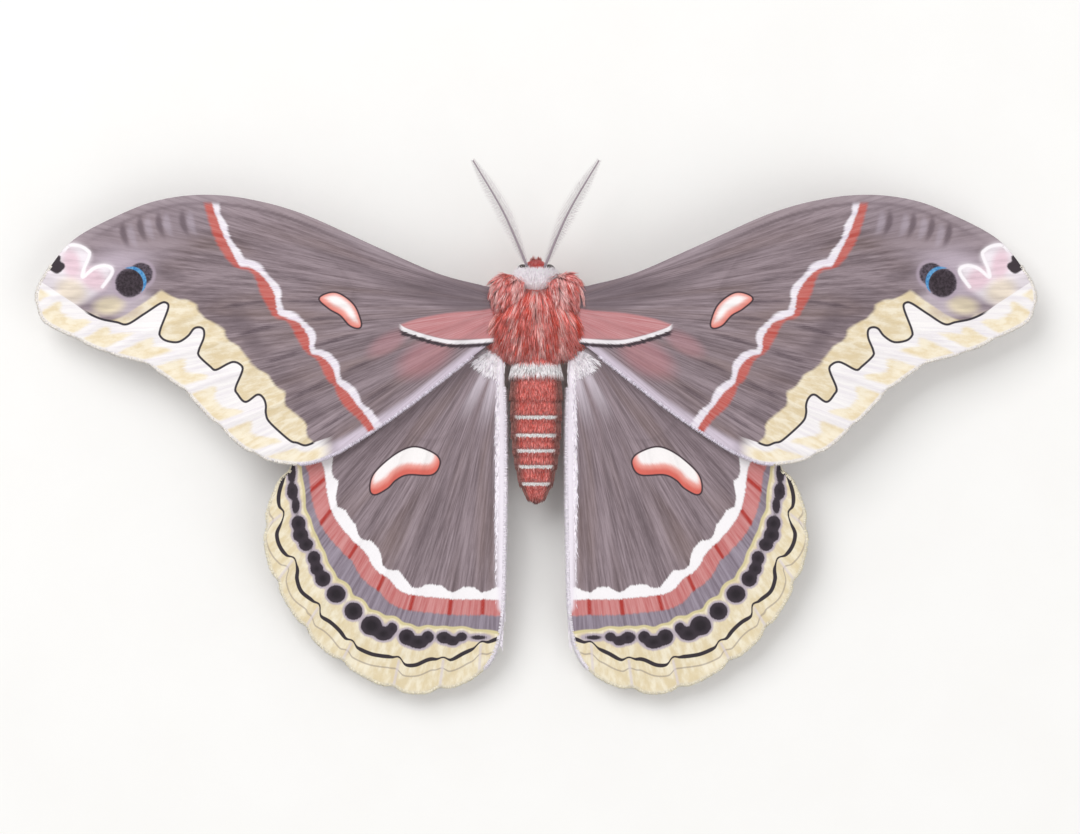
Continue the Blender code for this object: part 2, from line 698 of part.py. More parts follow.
def face_locks(collection):
    """Short hair that falls over the face from the brow."""
    draw = random.Random(SEED + 3)
    made = []
    for row, (height, count) in enumerate(FACE_ROWS):
        for k in range(count):
            turn = math.radians(-42 + 84 * (k + 0.5) / count)
            level = math.cos(height)
            aim = Vector((math.sin(turn) * level, math.cos(turn) * level, math.sin(height)))
            start = HEAD_CENTRE + Vector(aim[j] * HEAD_RADII[j] for j in range(3))
            flow = Vector((math.sin(turn) * 0.4, 0.5, -1.0 if row else -0.6))
            length = 1.9 * MM * draw.uniform(0.9, 1.1)
            path, normals = lying_path(start, flow, HEAD_CENTRE, HEAD_RADII, length, 0.3 * MM)
            made.append(lock("face_lock", path, normals, 1.15 * MM, 0.6 * MM, collection))
    return made


def palp(side, collection):
    points = [side_x(Vector(p) * MM, side) for p in ((0.55, 7.8, 7.2), (0.7, 8.5, 6.6), (0.75, 9.1, 6.7))]
    return tube("palp", points, [0.42 * MM, 0.4 * MM, 0.26 * MM], 6, collection)


def head(name, collection):
    """The head: an egg with a hairy face and two small palps, with sockets for eyes and feelers."""
    made = egg(name, HEAD_CENTRE, HEAD_RADII, 0.0, collection)
    combined(made, face_locks(collection) + [palp(side, collection) for side in (-1, 1)], "UNION")
    cutters = [block("back_cutter", (-0.01, -0.01, 0.0), (0.01, HEAD_BACK_Y, 0.02), collection)]
    for side in (-1, 1):
        centre = side_x(EYE_CENTRE, side)
        cutters.append(egg("eye_cutter", centre, Vector((1, 1, 1)) * EYE_RADIUS, GAP, collection, 12))
        cutters.append(feeler_cutter(side, collection))
    combined(made, cutters, "DIFFERENCE")
    keep_largest(made)
    return made


def ruff_locks(collection):
    """Pale locks that stand out of the collar and curl forwards over the head."""
    draw = random.Random(SEED + 5)
    made = []
    for row, (y, count, reach) in enumerate(RUFF_ROWS):
        for k in range(count):
            turn = math.radians(-96 + 192 * k / (count - 1))
            out = Vector((math.sin(turn), 0.0, math.cos(turn)))
            start = Vector((0.0, y, COLLAR_Z)) + out * (COLLAR_RADIUS - 0.7 * MM)
            lean = (0.75 if row else 0.3) + 0.2 * math.cos(turn)
            aim = (out * (1.0 - 0.45 * abs(math.sin(turn))) + Vector((0.0, lean, 0.0))).normalized()
            curl = (out * 0.2 + Vector((0.0, 1.0, 0.0))).normalized()
            length = reach * draw.uniform(0.9, 1.1)
            bend = start + aim * length * 0.7
            path = [start, start + aim * length * 0.4, bend, bend + curl * length * 0.45]
            made.append(lock("ruff_lock", path, [out] * 4, 1.45 * MM, 0.65 * MM, collection))
    return made


def collar(name, collection):
    """The neck ring with the ruff of pale locks that stands forwards over the head."""
    ends = [Vector((0.0, y, COLLAR_Z)) for y in COLLAR_Y]
    made = tube(name, ends, [COLLAR_RADIUS] * 2, 16, collection)
    combined(made, ruff_locks(collection), "UNION")
    half = NECK_HALF_WIDTH - GAP
    front = COLLAR_Y[1] + 0.4 * MM
    cutters = [block("back_cutter", (-0.01, -0.01, 0.0), (0.01, COLLAR_Y[0], 0.02), collection)]
    cutters.append(block("right_cutter", (half, -0.01, 0.0), (0.01, front, 0.02), collection))
    cutters.append(block("left_cutter", (-0.01, -0.01, 0.0), (-half, front, 0.02), collection))
    cutters.append(egg("head_cutter", HEAD_CENTRE, HEAD_RADII, GAP + 0.3 * MM, collection))
    for side in (-1, 1):
        eye_radii = Vector((1, 1, 1)) * EYE_RADIUS
        cutters.append(egg("eye_cutter", side_x(EYE_CENTRE, side), eye_radii, GAP, collection, 12))
        cutters.append(feeler_cutter(side, collection))
    combined(made, cutters, "DIFFERENCE")
    keep_largest(made)
    return made


def thorax(name, collection):
    """The thorax: core, shoulder lobes and locks in one body, parted from all that grows from it."""
    draw = random.Random(SEED)
    made = egg(name, THORAX_CENTRE, THORAX_RADII, 0.0, collection)
    pieces = thorax_locks(draw, collection)
    for side in (-1, 1):
        pieces.append(egg("lobe", side_x(LOBE_CENTRE, side), LOBE_RADII, 0.0, collection, 12))
        pieces += lobe_locks(side, draw, collection)
    combined(made, pieces, "UNION")
    neck_low = Vector((-NECK_HALF_WIDTH, COLLAR_Y[0] - GAP, COLLAR_Z - COLLAR_RADIUS - GAP))
    cutters = [abdomen("abdomen_cutter", GAP, collection)]
    cutters.append(block("neck_cutter", neck_low, Vector((NECK_HALF_WIDTH, 0.02, 0.02)), collection))
    for side in (-1, 1):
        cutters.append(wing_cutter("forewing_cutter", FOREWING, side, collection))
        cutters.append(wing_cutter("hindwing_cutter", HINDWING, side, collection))
        cutters += [hip_cutter(leg_name, side, collection) for leg_name in LEGS]
    combined(made, cutters, "DIFFERENCE")
    keep_largest(made)
    return made


def main():
    clear_scene()
    paint = materials()
    parts = bpy.data.collections.new("cecropia_moth")
    bpy.context.scene.collection.children.link(parts)
    made = [thorax("thorax", parts), collar("collar", parts), head("head", parts)]
    made.append(abdomen("abdomen", 0.0, parts))
    for side, side_name in ((1, "right"), (-1, "left")):
        made.append(wing("forewing_" + side_name, FOREWING, side, parts))
        made.append(wing("hindwing_" + side_name, HINDWING, side, parts))
        made.append(feeler("antenna_" + side_name, side, parts))
        eye_radii = Vector((1, 1, 1)) * EYE_RADIUS
        made.append(egg("eye_" + side_name, side_x(EYE_CENTRE, side), eye_radii, 0.0, parts, 14))
        for leg_name in LEGS:
            made += leg(leg_name, side, side_name, parts)
    stand = bpy.data.objects.new("moth", None)
    stand.location = (0.0, BODY_FORWARD, 0.0)
    parts.objects.link(stand)
    for item in made:
        item.data.materials.clear()
        item.data.materials.append(paint[item.name.split("_")[0]])
        item.parent = stand


main()
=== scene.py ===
"""Dresses the cecropia moth: painted wings with raised veins, furry body, feathery feelers, eyes and legs."""

import math
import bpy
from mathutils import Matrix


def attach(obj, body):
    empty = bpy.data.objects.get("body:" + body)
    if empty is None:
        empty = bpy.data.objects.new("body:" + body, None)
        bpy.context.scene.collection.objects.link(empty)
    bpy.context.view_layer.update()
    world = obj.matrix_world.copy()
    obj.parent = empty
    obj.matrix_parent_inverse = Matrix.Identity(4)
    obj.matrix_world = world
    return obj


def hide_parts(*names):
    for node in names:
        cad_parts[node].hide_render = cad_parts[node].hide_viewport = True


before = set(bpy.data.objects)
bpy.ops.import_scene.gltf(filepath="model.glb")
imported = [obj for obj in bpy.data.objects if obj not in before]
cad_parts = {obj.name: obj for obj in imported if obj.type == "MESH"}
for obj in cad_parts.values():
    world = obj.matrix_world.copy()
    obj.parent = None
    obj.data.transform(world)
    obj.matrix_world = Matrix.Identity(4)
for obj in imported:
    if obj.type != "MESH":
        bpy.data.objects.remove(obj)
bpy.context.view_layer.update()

from types import SimpleNamespace

import bmesh
import bpy
import numpy as np
from mathutils import Vector
from mathutils.geometry import delaunay_2d_cdt

MM = 0.001
SHIFT_Y = 16.35
DRAW = np.random.default_rng(7)

# Points handled at once, how far a drawn line runs on at its ends, and a tuft's patch on its map.
CHUNK = 4000
RUN_ON = 30
PATCH = 0.0028

# The view's width at the wings, in metres.
VIEW_WIDTH = 0.162

# How wide a vein's notch is, the streaks' spread across a wing, and where the thorax's two coats meet.
NOTCH_WIDTH = 1.1
FAN_WIDTH = 32.0
THORAX_SPLIT_Z = 7.6

# Shapes are worked out in millimetres, with y = 0 at the middle of the thorax, as in the solids.
SHEET_Z, SHEET_RISE, SHEET_DROOP = 9.6, 0.9, 4.6
SHEET_REAR_DROP, SHEET_FRONT_DROP = 4.2, 0.9
SHEET_ROOT_X, SHEET_SPAN, SHEET_REAR, SHEET_FRONT = 6.0, 69.0, 50.0, 20.0
WING_STEP = 0.85
WING_GRID = 0.33
MEMBRANE = 0.2
VEIN_RIDGE = 0.26
VEIN_HALF_WIDTH = 0.42
PLEAT = 0.22

FOREWING = {
    "step": WING_STEP,
    "notch": 0.35,
    "outline": [
        (4.6, 4.2), (8.0, 5.1), (14.7, 6.9), (23.9, 10.9), (34.8, 15.8), (43.0, 18.1), (50.0, 18.8),
        (56.4, 18.1), (61.9, 16.2), (69.1, 12.5), (72.9, 8.4), (75.3, 3.9), (74.3, 0.2), (70.2, -2.2),
        (64.5, -4.8), (58.5, -6.6), (52.8, -10.6), (47.4, -16.0), (42.0, -20.2), (35.5, -21.6),
        (30.5, -20.3), (24.9, -17.0), (19.0, -12.9), (13.4, -8.6), (8.0, -4.4), (4.6, -1.9),
    ],
    "veins": [
        [(8.0, 4.0), (18.0, 7.2), (29.0, 12.3), (38.5, 16.0), (46.5, 18.6)],
        [(8.0, 2.8), (19.0, 5.6), (31.0, 10.2), (43.0, 14.7), (55.5, 18.3)],
        [(31.0, 10.2), (43.0, 12.2), (55.0, 14.2), (66.8, 13.8)],
        [(43.0, 12.2), (56.0, 10.4), (67.0, 6.2), (74.9, 2.0)],
        [(27.5, 4.9), (42.0, 6.8), (58.0, 3.6), (69.2, -2.6)],
        [(27.5, 2.4), (42.0, 2.6), (55.0, -0.6), (64.5, -4.8)],
        [(25.5, 0.6), (38.0, -0.6), (49.0, -3.8), (58.5, -6.6)],
        [(22.0, -0.9), (33.0, -4.0), (43.5, -7.6), (52.8, -10.6)],
        [(15.5, -1.6), (27.0, -7.2), (38.0, -12.4), (47.4, -16.0)],
        [(8.0, 1.2), (15.5, -1.6), (22.0, -0.9), (25.5, 0.6), (27.5, 2.4), (27.5, 4.9), (31.0, 10.2)],
        [(8.0, -0.6), (16.0, -6.0), (26.0, -12.6), (35.0, -17.8), (42.0, -20.2)],
    ],
    "fan": (2.0, 2.0),
}
HINDWING = {
    "step": -WING_STEP,
    "notch": 0.55,
    "outline": [
        (4.9, -2.6), (8.0, -2.9), (13.5, -4.8), (21.0, -8.7), (28.5, -13.8), (34.5, -19.0), (37.9, -23.1),
        (40.0, -27.4), (40.9, -32.0), (39.9, -37.6), (37.5, -42.6), (34.0, -47.6), (29.4, -51.6),
        (23.6, -54.9), (18.2, -56.3), (12.5, -55.3), (8.6, -53.2), (6.2, -49.8), (5.1, -44.0),
        (4.8, -36.0), (4.6, -24.0), (4.6, -14.0), (4.9, -6.6),
    ],
    "veins": [
        [(8.0, -3.9), (18.0, -9.0), (28.0, -15.6), (37.4, -22.4)],
        [(8.0, -4.6), (15.0, -9.6), (21.0, -14.6), (31.0, -23.2), (40.5, -31.0)],
        [(21.0, -14.6), (27.0, -23.6), (34.0, -32.6), (39.1, -39.4)],
        [(19.0, -17.0), (23.5, -27.6), (29.5, -38.0), (34.9, -46.5)],
        [(16.0, -18.0), (19.5, -30.0), (24.5, -42.0), (29.4, -51.6)],
        [(13.0, -17.0), (15.6, -30.0), (18.8, -43.0), (21.6, -55.5)],
        [(9.6, -13.0), (11.0, -28.0), (12.8, -42.0), (14.6, -55.9)],
        [(7.2, -5.8), (9.6, -13.0), (13.0, -17.0), (16.0, -18.0), (19.0, -17.0), (21.0, -14.6)],
        [(6.4, -6.8), (7.0, -20.0), (7.6, -36.0), (8.6, -53.2)],
    ],
    "fan": (4.0, 2.0),
}

# The forewing's markings, from its front edge to its rear or from its tip inwards.
BAND_LINE = [
    (49.3, 20.0), (48.4, 16.9), (47.6, 14.6), (46.6, 12.3), (45.6, 10.3), (44.5, 8.3), (44.0, 8.0),
    (42.7, 7.8),
    (41.1, 6.7), (39.8, 5.1), (39.0, 3.4), (38.7, 1.3), (38.2, 0.6), (37.0, 0.2), (35.6, -0.4), (34.6, -1.5),
    (33.9, -2.8), (33.8, -4.3), (33.5, -5.1), (32.3, -5.4), (31.2, -6.2), (30.3, -7.4), (29.9, -8.7),
    (29.7, -9.5), (28.9, -10.2), (27.9, -11.1), (26.8, -12.6), (25.8, -13.8), (24.5, -15.6), (23.4, -17.4),
]
RED_EDGE = [
    (50.4, 20.0), (49.7, 17.1), (49.0, 14.6), (48.3, 12.6), (47.3, 10.6), (45.9, 8.7), (44.4, 7.7),
    (42.9, 7.3),
    (41.9, 6.1), (41.3, 4.2), (40.3, 2.3), (39.3, 0.6), (38.6, 0.2), (37.4, -0.1), (36.5, -1.2), (35.7, -2.8),
    (34.8, -4.3), (34.1, -5.1), (33.4, -5.5), (32.4, -6.4), (31.7, -8.0), (30.9, -9.3), (30.2, -9.8),
    (29.6, -11.4), (28.6, -12.9), (27.4, -14.1), (26.5, -14.9), (25.2, -16.6),
]
CREAM_LINE = [
    (66.0, 0.9), (64.0, 0.4), (61.9, 0.8), (59.2, 2.8), (56.6, 4.8), (55.3, 4.5), (53.9, 3.0), (52.2, 2.7),
    (49.9, 1.3), (48.8, -0.3),
    (45.9, -2.4), (43.5, -5.7), (41.4, -6.9), (39.0, -10.2), (37.2, -11.2), (36.9, -13.5), (34.9, -15.3),
    (33.6, -17.4), (33.0, -19.8),
]
WAVY_LINE = [
    (73.6, 5.2), (69.3, 2.4), (67.6, 1.2), (65.4, 0.2), (63.0, -0.3), (61.4, -0.6), (58.9, 0.9), (56.4, 2.5),
    (55.5, 2.6), (55.2, 1.8), (56.4, -1.5), (56.4, -2.4), (55.5, -3.1), (53.7, -3.3), (52.2, -2.4),
    (51.3, -1.3),
    (50.4, -1.1), (49.8, -1.5), (49.8, -2.7), (50.5, -4.5), (50.5, -5.4), (48.8, -7.0), (48.0, -7.5),
    (46.2, -6.6), (45.3, -6.3), (44.4, -6.6), (43.9, -7.5), (45.0, -10.2), (44.7, -11.1), (43.5, -12.3),
    (41.7, -11.2), (40.8, -11.7), (40.4, -12.8), (40.4, -14.1), (39.8, -15.4), (36.9, -18.0), (35.7, -18.4),
    (34.5, -18.8), (33.0, -18.3),
]
ZIGZAG = [
    (71.2, 10.4), (70.2, 11.3), (68.7, 11.2), (67.5, 10.5), (67.2, 9.8), (68.0, 7.8), (68.2, 6.5),
    (66.5, 7.8),
    (65.0, 8.2), (63.8, 7.8), (63.8, 6.9), (65.2, 5.0),
]
TIP_LIGHT = [
    (71.2, 10.6), (69.5, 11.4), (67.6, 10.5), (67.2, 9.4), (67.9, 7.6), (66.5, 7.9), (65.0, 8.3), (63.8, 7.9),
    (64.2, 6.8), (65.6, 4.8), (68.0, 3.0), (72.0, 2.2), (77.0, 3.5), (76.0, 9.0),
]
TIP_SPOT = [
    (73.4, 9.0), (72.5, 9.9), (71.6, 9.6), (71.7, 8.9), (71.0, 8.5), (71.1, 7.8), (72.0, 7.1), (72.9, 7.4),
    (73.5, 8.1),
]
BEAN = [
    (32.4, 3.1), (30.9, 4.0), (29.2, 3.8), (27.1, 2.1), (26.1, -0.4), (26.4, -1.3), (27.8, -0.9), (29.2, 0.6),
    (30.9, 1.6),
]
EYE_SPOT = ((61.05, 5.6, 2.2), (59.35, 6.9, 1.75))
WEDGE = [
    (5.2, 1.4), (8.6, 1.3), (12.8, 1.0), (16.9, 0.3), (19.5, -0.5), (20.2, -0.9), (18.6, -1.6), (16.2, -2.3),
    (13.3, -2.9), (9.0, -2.9), (6.0, -2.7),
]
WEDGE_RIM = [(20.3, -0.8), (19.4, -1.4), (16.4, -2.4), (13.3, -3.1), (11.1, -3.2), (8.0, -3.0)]

# The hindwing's markings, from its front edge round to its inner edge.
HIND_BAND = [
    (32.0, -17.6), (31.2, -20.2), (30.4, -22.2), (30.0, -25.5), (29.4, -28.1), (28.1, -30.3), (26.4, -32.2),
    (24.4, -34.2), (23.2, -36.4), (21.1, -37.9), (19.5, -39.6), (16.2, -40.2), (11.7, -40.6), (8.2, -40.6),
    (3.7, -40.8),
]
HIND_FINE = [
    (35.6, -18.3), (35.4, -21.3), (35.2, -24.0), (35.0, -28.9), (33.9, -31.5), (32.7, -34.2), (30.4, -38.7),
    (28.2, -40.7), (25.9, -43.3), (21.4, -45.3), (16.2, -46.3), (7.2, -46.8), (3.0, -46.7),
]
HIND_LINE = [
    (36.4, -18.4), (36.9, -20.2), (37.4, -22.5), (38.1, -24.2), (38.7, -26.8), (38.3, -30.0), (39.0, -32.2),
    (38.3, -34.5), (36.1, -36.9), (36.0, -39.0), (35.3, -40.9), (33.3, -42.6), (32.6, -44.4), (31.0, -45.5),
    (29.7, -46.7), (28.4, -48.3), (26.7, -49.5), (24.9, -50.3), (23.4, -50.6), (21.4, -50.9), (19.9, -51.9),
    (18.2, -52.0), (15.9, -51.1), (13.2, -51.3), (10.9, -50.2), (9.8, -49.7), (7.9, -48.8), (3.7, -47.2),
]
HIND_BEAN = [
    (24.9, -25.5), (24.1, -26.2), (22.2, -25.2), (21.0, -24.0), (19.2, -23.2), (15.6, -23.2), (14.4, -21.6),
    (15.0, -20.2), (17.5, -19.1), (19.5, -19.3), (22.0, -20.8), (24.4, -23.2),
]
HIND_SPOTS = [
    (36.7, -22.9, 0.65, 1.6), (36.6, -25.7, 0.85, 1.3), (36.1, -27.8, 0.6, 1.3), (35.7, -30.6, 1.1, 1.2),
    (35.4, -32.3, 1.2, 1.1), (34.6, -33.7, 1.1, 1.0), (33.4, -35.8, 1.0, 1.1), (33.0, -37.4, 1.0, 1.0),
    (32.1, -38.9, 1.2, 1.2), (30.1, -41.2, 1.45, 1.35), (27.5, -43.8, 1.4, 1.35), (24.8, -46.0, 1.6, 1.5),
    (23.0, -47.2, 1.5, 1.1), (21.7, -46.4, 0.8, 0.9), (19.5, -47.7, 1.2, 1.2), (17.8, -48.5, 1.6, 1.0),
    (16.3, -47.7, 0.9, 0.9), (13.9, -47.8, 1.1, 0.9), (12.6, -48.3, 1.0, 0.75), (11.2, -47.7, 0.8, 0.7),
    (8.7, -47.8, 1.2, 0.35),
]

# Body parts: centre and radii of the skin's eggs, well inside the solids' coat.
THORAX = ((0.0, -0.6, 8.3), (6.7, 5.9, 4.3))
LOBE = ((4.1, 4.15, 9.7), (2.55, 2.5, 1.85))
NECK = ((0.0, 5.4, 8.8), (2.3, 1.6, 2.2))
HEAD = ((0.0, 7.3, 8.6), (1.85, 1.5, 1.8))
EYE = ((1.95, 7.4, 8.5), 0.95)
ABDOMEN_HEMS = (-8.2, -11.6, -14.7, -17.4, -19.7, -22.1, -24.7, -26.8)
RINGED_HEMS = ABDOMEN_HEMS[2:7]
ABDOMEN_RADII = (4.1, 4.15, 4.1, 3.95, 3.75, 3.4, 2.8, 1.6)
ABDOMEN_COAT = 0.3
ABDOMEN_Z = (8.2, 6.7)
ABDOMEN_ENDS = (-4.2, -27.3)
LEGS = {
    "front": [(2.2, 2.6, 5.3), (6.0, 3.4, 5.5), (8.4, 3.9, 1.3), (11.4, 3.6, 0.3)],
    "middle": [(2.6, -0.4, 5.0), (7.2, -0.8, 5.6), (10.2, -1.6, 1.3), (14.2, -2.6, 0.3)],
    "hind": [(2.8, -2.8, 4.8), (7.0, -8.0, 5.0), (8.8, -13.6, 1.3), (10.3, -19.4, 0.3)],
}
FEELER_PATH = [(1.2, 7.7, 9.9), (1.7, 8.8, 10.7), (3.2, 12.4, 11.5), (5.4, 17.0, 11.9), (9.4, 23.7, 11.6)]
PALP = [(0.45, 7.8, 7.3), (0.45, 8.5, 6.9), (0.38, 9.15, 7.1)]
PALP_RADII = (0.32, 0.3, 0.16)
LEG_SKIN = (0.62, 0.66, 0.44, 0.46, 0.3)
TARSUS_SKIN = (0.3, 0.23)
TARSUS_RINGS = 10
SKIN_VOXEL = 0.17
SIDES = ((1, "right"), (-1, "left"))

# The parts of the skin, as regions() numbers them.
ON_THORAX, ON_LOBE, ON_NECK, ON_HEAD, ON_ABDOMEN, ON_FEMUR, ON_TIBIA, ON_TARSUS = range(8)

# Every colour is red, green and blue in 0 to 255 steps.
GREY_DARK, GREY_LIGHT = (104, 90, 95), (164, 148, 155)
WHITE, ROSE, BLUE = (240, 236, 240), (192, 131, 137), (62, 128, 186)
WHITE_HAIR, FEELER_GREY = (244, 238, 243), (150, 138, 146)

# The forewing's soft paint: amount, centre, radii, turn in degrees and colour of each oval.
SOFT_GROUND = [
    (0.45, (9.0, 3.4), (12.0, 4.0), 12, (98, 86, 94)),
    (0.3, (24.0, 6.6), (16.0, 1.5), 22, (92, 80, 86)),
    (0.55, (59, 12), (15, 5.5), -22, (164, 150, 160)),
]
FRONT_BARS = ((62.0, 12.8), (59.4, 13.8), (56.6, 14.3), (53.0, 14.6))
SOFT_ROUND_EYE = [
    (0.8, (63.5, 6.0), (8.5, 6.0), -25, (196, 182, 196)),
    (0.7, (60.5, 2.2), (5.0, 2.6), -10, (206, 194, 204)),
    (0.9, (64.2, 2.2), (3.3, 1.9), -6, (236, 222, 190)),
]
SOFT_TIP_AND_BASE = [
    (0.95, (69.9, 8.4), (1.9, 3.4), -12, (238, 208, 220)),
    (0.95, (66.6, 6.2), (3.0, 2.2), 30, (236, 206, 218)),
    (0.9, (70.0, 4.4), (3.4, 2.6), 20, (240, 226, 206)),
    (0.55, (16.5, -5.6), (6.5, 3.4), -32, ROSE),
    (0.4, (22.2, -3.6), (4.6, 2.0), -30, ROSE),
    (0.45, (43.5, -1.0), (2.0, 7.0), -28, (106, 92, 98)),
]

# The fringes: name, wing, first and last place on its margin, colour, length and number of scales.
FRINGES = [
    ("forewing_fringe_", FOREWING, (72.9, 8.4), (35.5, -21.6), (240, 234, 226), 0.55, 2600),
    ("forewing_rear_fringe_", FOREWING, (35.5, -21.6), (9.0, -5.2), (226, 218, 232), 0.6, 1500),
    ("hindwing_fringe_", HINDWING, (37.0, -22.0), (8.0, -52.6), (238, 230, 206), 0.55, 2600),
    ("hindwing_inner_fringe_", HINDWING, (8.0, -52.6), (4.7, -10.0), (240, 234, 243), 0.75, 2600),
]


def linear(colour):
    """A colour given in 0 to 255 steps, as linear numbers."""
    def one(value):
        value /= 255
        return value / 12.92 if value <= 0.04045 else ((value + 0.055) / 1.055) ** 2.4
    return tuple(one(value) for value in colour)


# ---- curves and distances ----
def mirrored(point, side):
    return (point[0] * side, point[1], point[2])


def unit(vectors):
    return vectors / np.maximum(np.linalg.norm(vectors, axis=-1), 1e-9)[..., None]


def rise(values, low, high):
    """0 below low, 1 above high, and smooth between."""
    t = np.clip((values - low) / (high - low), 0, 1)
    return t * t * (3 - 2 * t)


def smooth_curve(points, step, closed=False):
    """A dense smooth line through points, as an array, with about one step between its points."""
    p = np.array(points, float)
    ends = ([p[-1]], p[:2]) if closed else ([2 * p[0] - p[1]], [2 * p[-1] - p[-2]])
    padded = np.vstack([ends[0], p, ends[1]])
    found = []
    for a, b, c, d in zip(padded, padded[1:], padded[2:], padded[3:]):
        count = max(2, int(np.linalg.norm(c - b) / step) + 1)
        t = np.linspace(0, 1, count, endpoint=False)[:, None]
        bend = (c - a) * t + (2 * a - 5 * b + 4 * c - d) * t ** 2 + (3 * b - 3 * c + d - a) * t ** 3
        found.append(b + 0.5 * bend)
    line = np.vstack(found)
    return line if closed else np.vstack([line, p[-1:]])


def travelled(line):
    """How far along a line each of its points lies."""
    return np.concatenate([[0], np.cumsum(np.linalg.norm(np.diff(line, axis=0), axis=1))])


def places_on(line, steps, wanted):
    """The points of a line at the wanted distances along it."""
    return np.stack([np.interp(wanted, steps, line[:, k]) for k in range(line.shape[1])], axis=1)


def line_distance(points, line, closed=False):
    """Distance from each 2D point to a line, and which side it is on: 1 to the line's left, else -1."""
    a = line if closed else line[:-1]
    b = np.roll(line, -1, axis=0) if closed else line[1:]
    span = b - a
    length2 = np.maximum((span ** 2).sum(1), 1e-12)
    best = np.full(len(points), 1e9)
    side = np.ones(len(points))
    for start in range(0, len(points), CHUNK):
        chunk = points[start : start + CHUNK]
        rel = chunk[:, None, :] - a[None]
        t = np.clip((rel * span[None]).sum(2) / length2, 0, 1)
        gap = rel - t[..., None] * span[None]
        far = (gap ** 2).sum(2)
        pick = far.argmin(1)
        rows = np.arange(len(chunk))
        cross = span[pick, 0] * rel[rows, pick, 1] - span[pick, 1] * rel[rows, pick, 0]
        best[start : start + CHUNK] = np.sqrt(far[rows, pick])
        side[start : start + CHUNK] = np.where(cross >= 0, 1.0, -1.0)
    return best, side


def signed_to_line(points, drawn, step):
    """Distance to a drawn line, positive on its left; the line first runs on straight at both ends."""
    line = smooth_curve(drawn, step)
    first = line[0] + (line[0] - line[1]) / np.linalg.norm(line[0] - line[1]) * RUN_ON
    last = line[-1] + (line[-1] - line[-2]) / np.linalg.norm(line[-1] - line[-2]) * RUN_ON
    far, side = line_distance(points, np.vstack([first, line, last]))
    return far * side


def inside(points, outline):
    """Which points lie in a closed outline."""
    found = np.zeros(len(points), bool)
    for a, b in zip(outline, np.roll(outline, -1, axis=0)):
        straddles = (a[1] > points[:, 1]) != (b[1] > points[:, 1])
        if straddles.any():
            x = a[0] + (points[:, 1] - a[1]) / (b[1] - a[1] + 1e-12) * (b[0] - a[0])
            found ^= straddles & (points[:, 0] < x)
    return found


def signed_to_shape(points, drawn, step):
    """Distance to a drawn closed outline, negative inside it."""
    outline = smooth_curve(drawn, step, closed=True)
    far, _ = line_distance(points, outline, closed=True)
    return np.where(inside(points, outline), -far, far)


# ---- meshes ----
def make_piece(name, points, faces, material):
    """A mesh object from points in millimetres in the moth's frame, riding on the model's one body."""
    mesh = bpy.data.meshes.new(name)
    verts = np.array(points, float)
    verts[:, 1] += SHIFT_Y
    verts *= MM
    if isinstance(faces, np.ndarray):
        sizes, corners = np.full(len(faces), faces.shape[1]), faces.ravel()
    else:
        sizes, corners = np.array([len(face) for face in faces]), np.concatenate(faces)
    mesh.vertices.add(len(verts))
    mesh.vertices.foreach_set("co", verts.astype(np.float32).ravel())
    mesh.loops.add(len(corners))
    mesh.loops.foreach_set("vertex_index", corners.astype(np.int32))
    mesh.polygons.add(len(sizes))
    mesh.polygons.foreach_set("loop_start", (np.cumsum(sizes) - sizes).astype(np.int32))
    mesh.polygons.foreach_set("loop_total", sizes.astype(np.int32))
    mesh.update(calc_edges=True)
    mesh.materials.append(material)
    mesh.polygons.foreach_set("use_smooth", np.ones(len(sizes), bool))
    piece = bpy.data.objects.new(name, mesh)
    bpy.context.scene.collection.objects.link(piece)
    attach(piece, "root")
    return piece


def add_values(piece, name, values):
    """Stores a number, a vector or a colour for each vertex."""
    values = np.asarray(values, np.float32)
    width = 1 if values.ndim == 1 else values.shape[1]
    kind, key = {1: ("FLOAT", "value"), 3: ("FLOAT_VECTOR", "vector"), 4: ("FLOAT_COLOR", "color")}[width]
    piece.data.attributes.new(name, kind, "POINT").data.foreach_set(key, values.ravel())


def add_tint(piece, tint):
    add_values(piece, "tint", np.hstack([tint, np.ones((len(tint), 1))]))


def taken_from(shape):
    """A bmesh's points and faces; the bmesh is freed."""
    shape.verts.index_update()
    points = np.array([tuple(vertex.co) for vertex in shape.verts])
    faces = [[vertex.index for vertex in face.verts] for face in shape.faces]
    shape.free()
    return points, faces


def tube_mesh(shape, points, radii, sides=12):
    """Adds a closed round tube to a bmesh."""
    points = [Vector(p) for p in points]
    rings = []
    across = None
    for k, point in enumerate(points):
        along = (points[min(k + 1, len(points) - 1)] - points[max(k - 1, 0)]).normalized()
        across = along.orthogonal() if across is None else across
        across = (across - along * across.dot(along)).normalized()
        other = along.cross(across)
        ring = []
        for j in range(sides):
            a = 2 * math.pi * j / sides
            ring.append(shape.verts.new(point + (across * math.cos(a) + other * math.sin(a)) * radii[k]))
        rings.append(ring)
    for first, second in zip(rings, rings[1:]):
        for j in range(sides):
            n = (j + 1) % sides
            shape.faces.new((first[j], first[n], second[n], second[j]))
    shape.faces.new(rings[0][::-1])
    shape.faces.new(rings[-1])


def egg_mesh(shape, centre, radii):
    """Adds a closed ellipsoid to a bmesh."""
    made = bmesh.ops.create_uvsphere(shape, u_segments=32, v_segments=20, radius=1.0)
    for vertex in made["verts"]:
        vertex.co = Vector(centre[k] + vertex.co[k] * radii[k] for k in range(3))


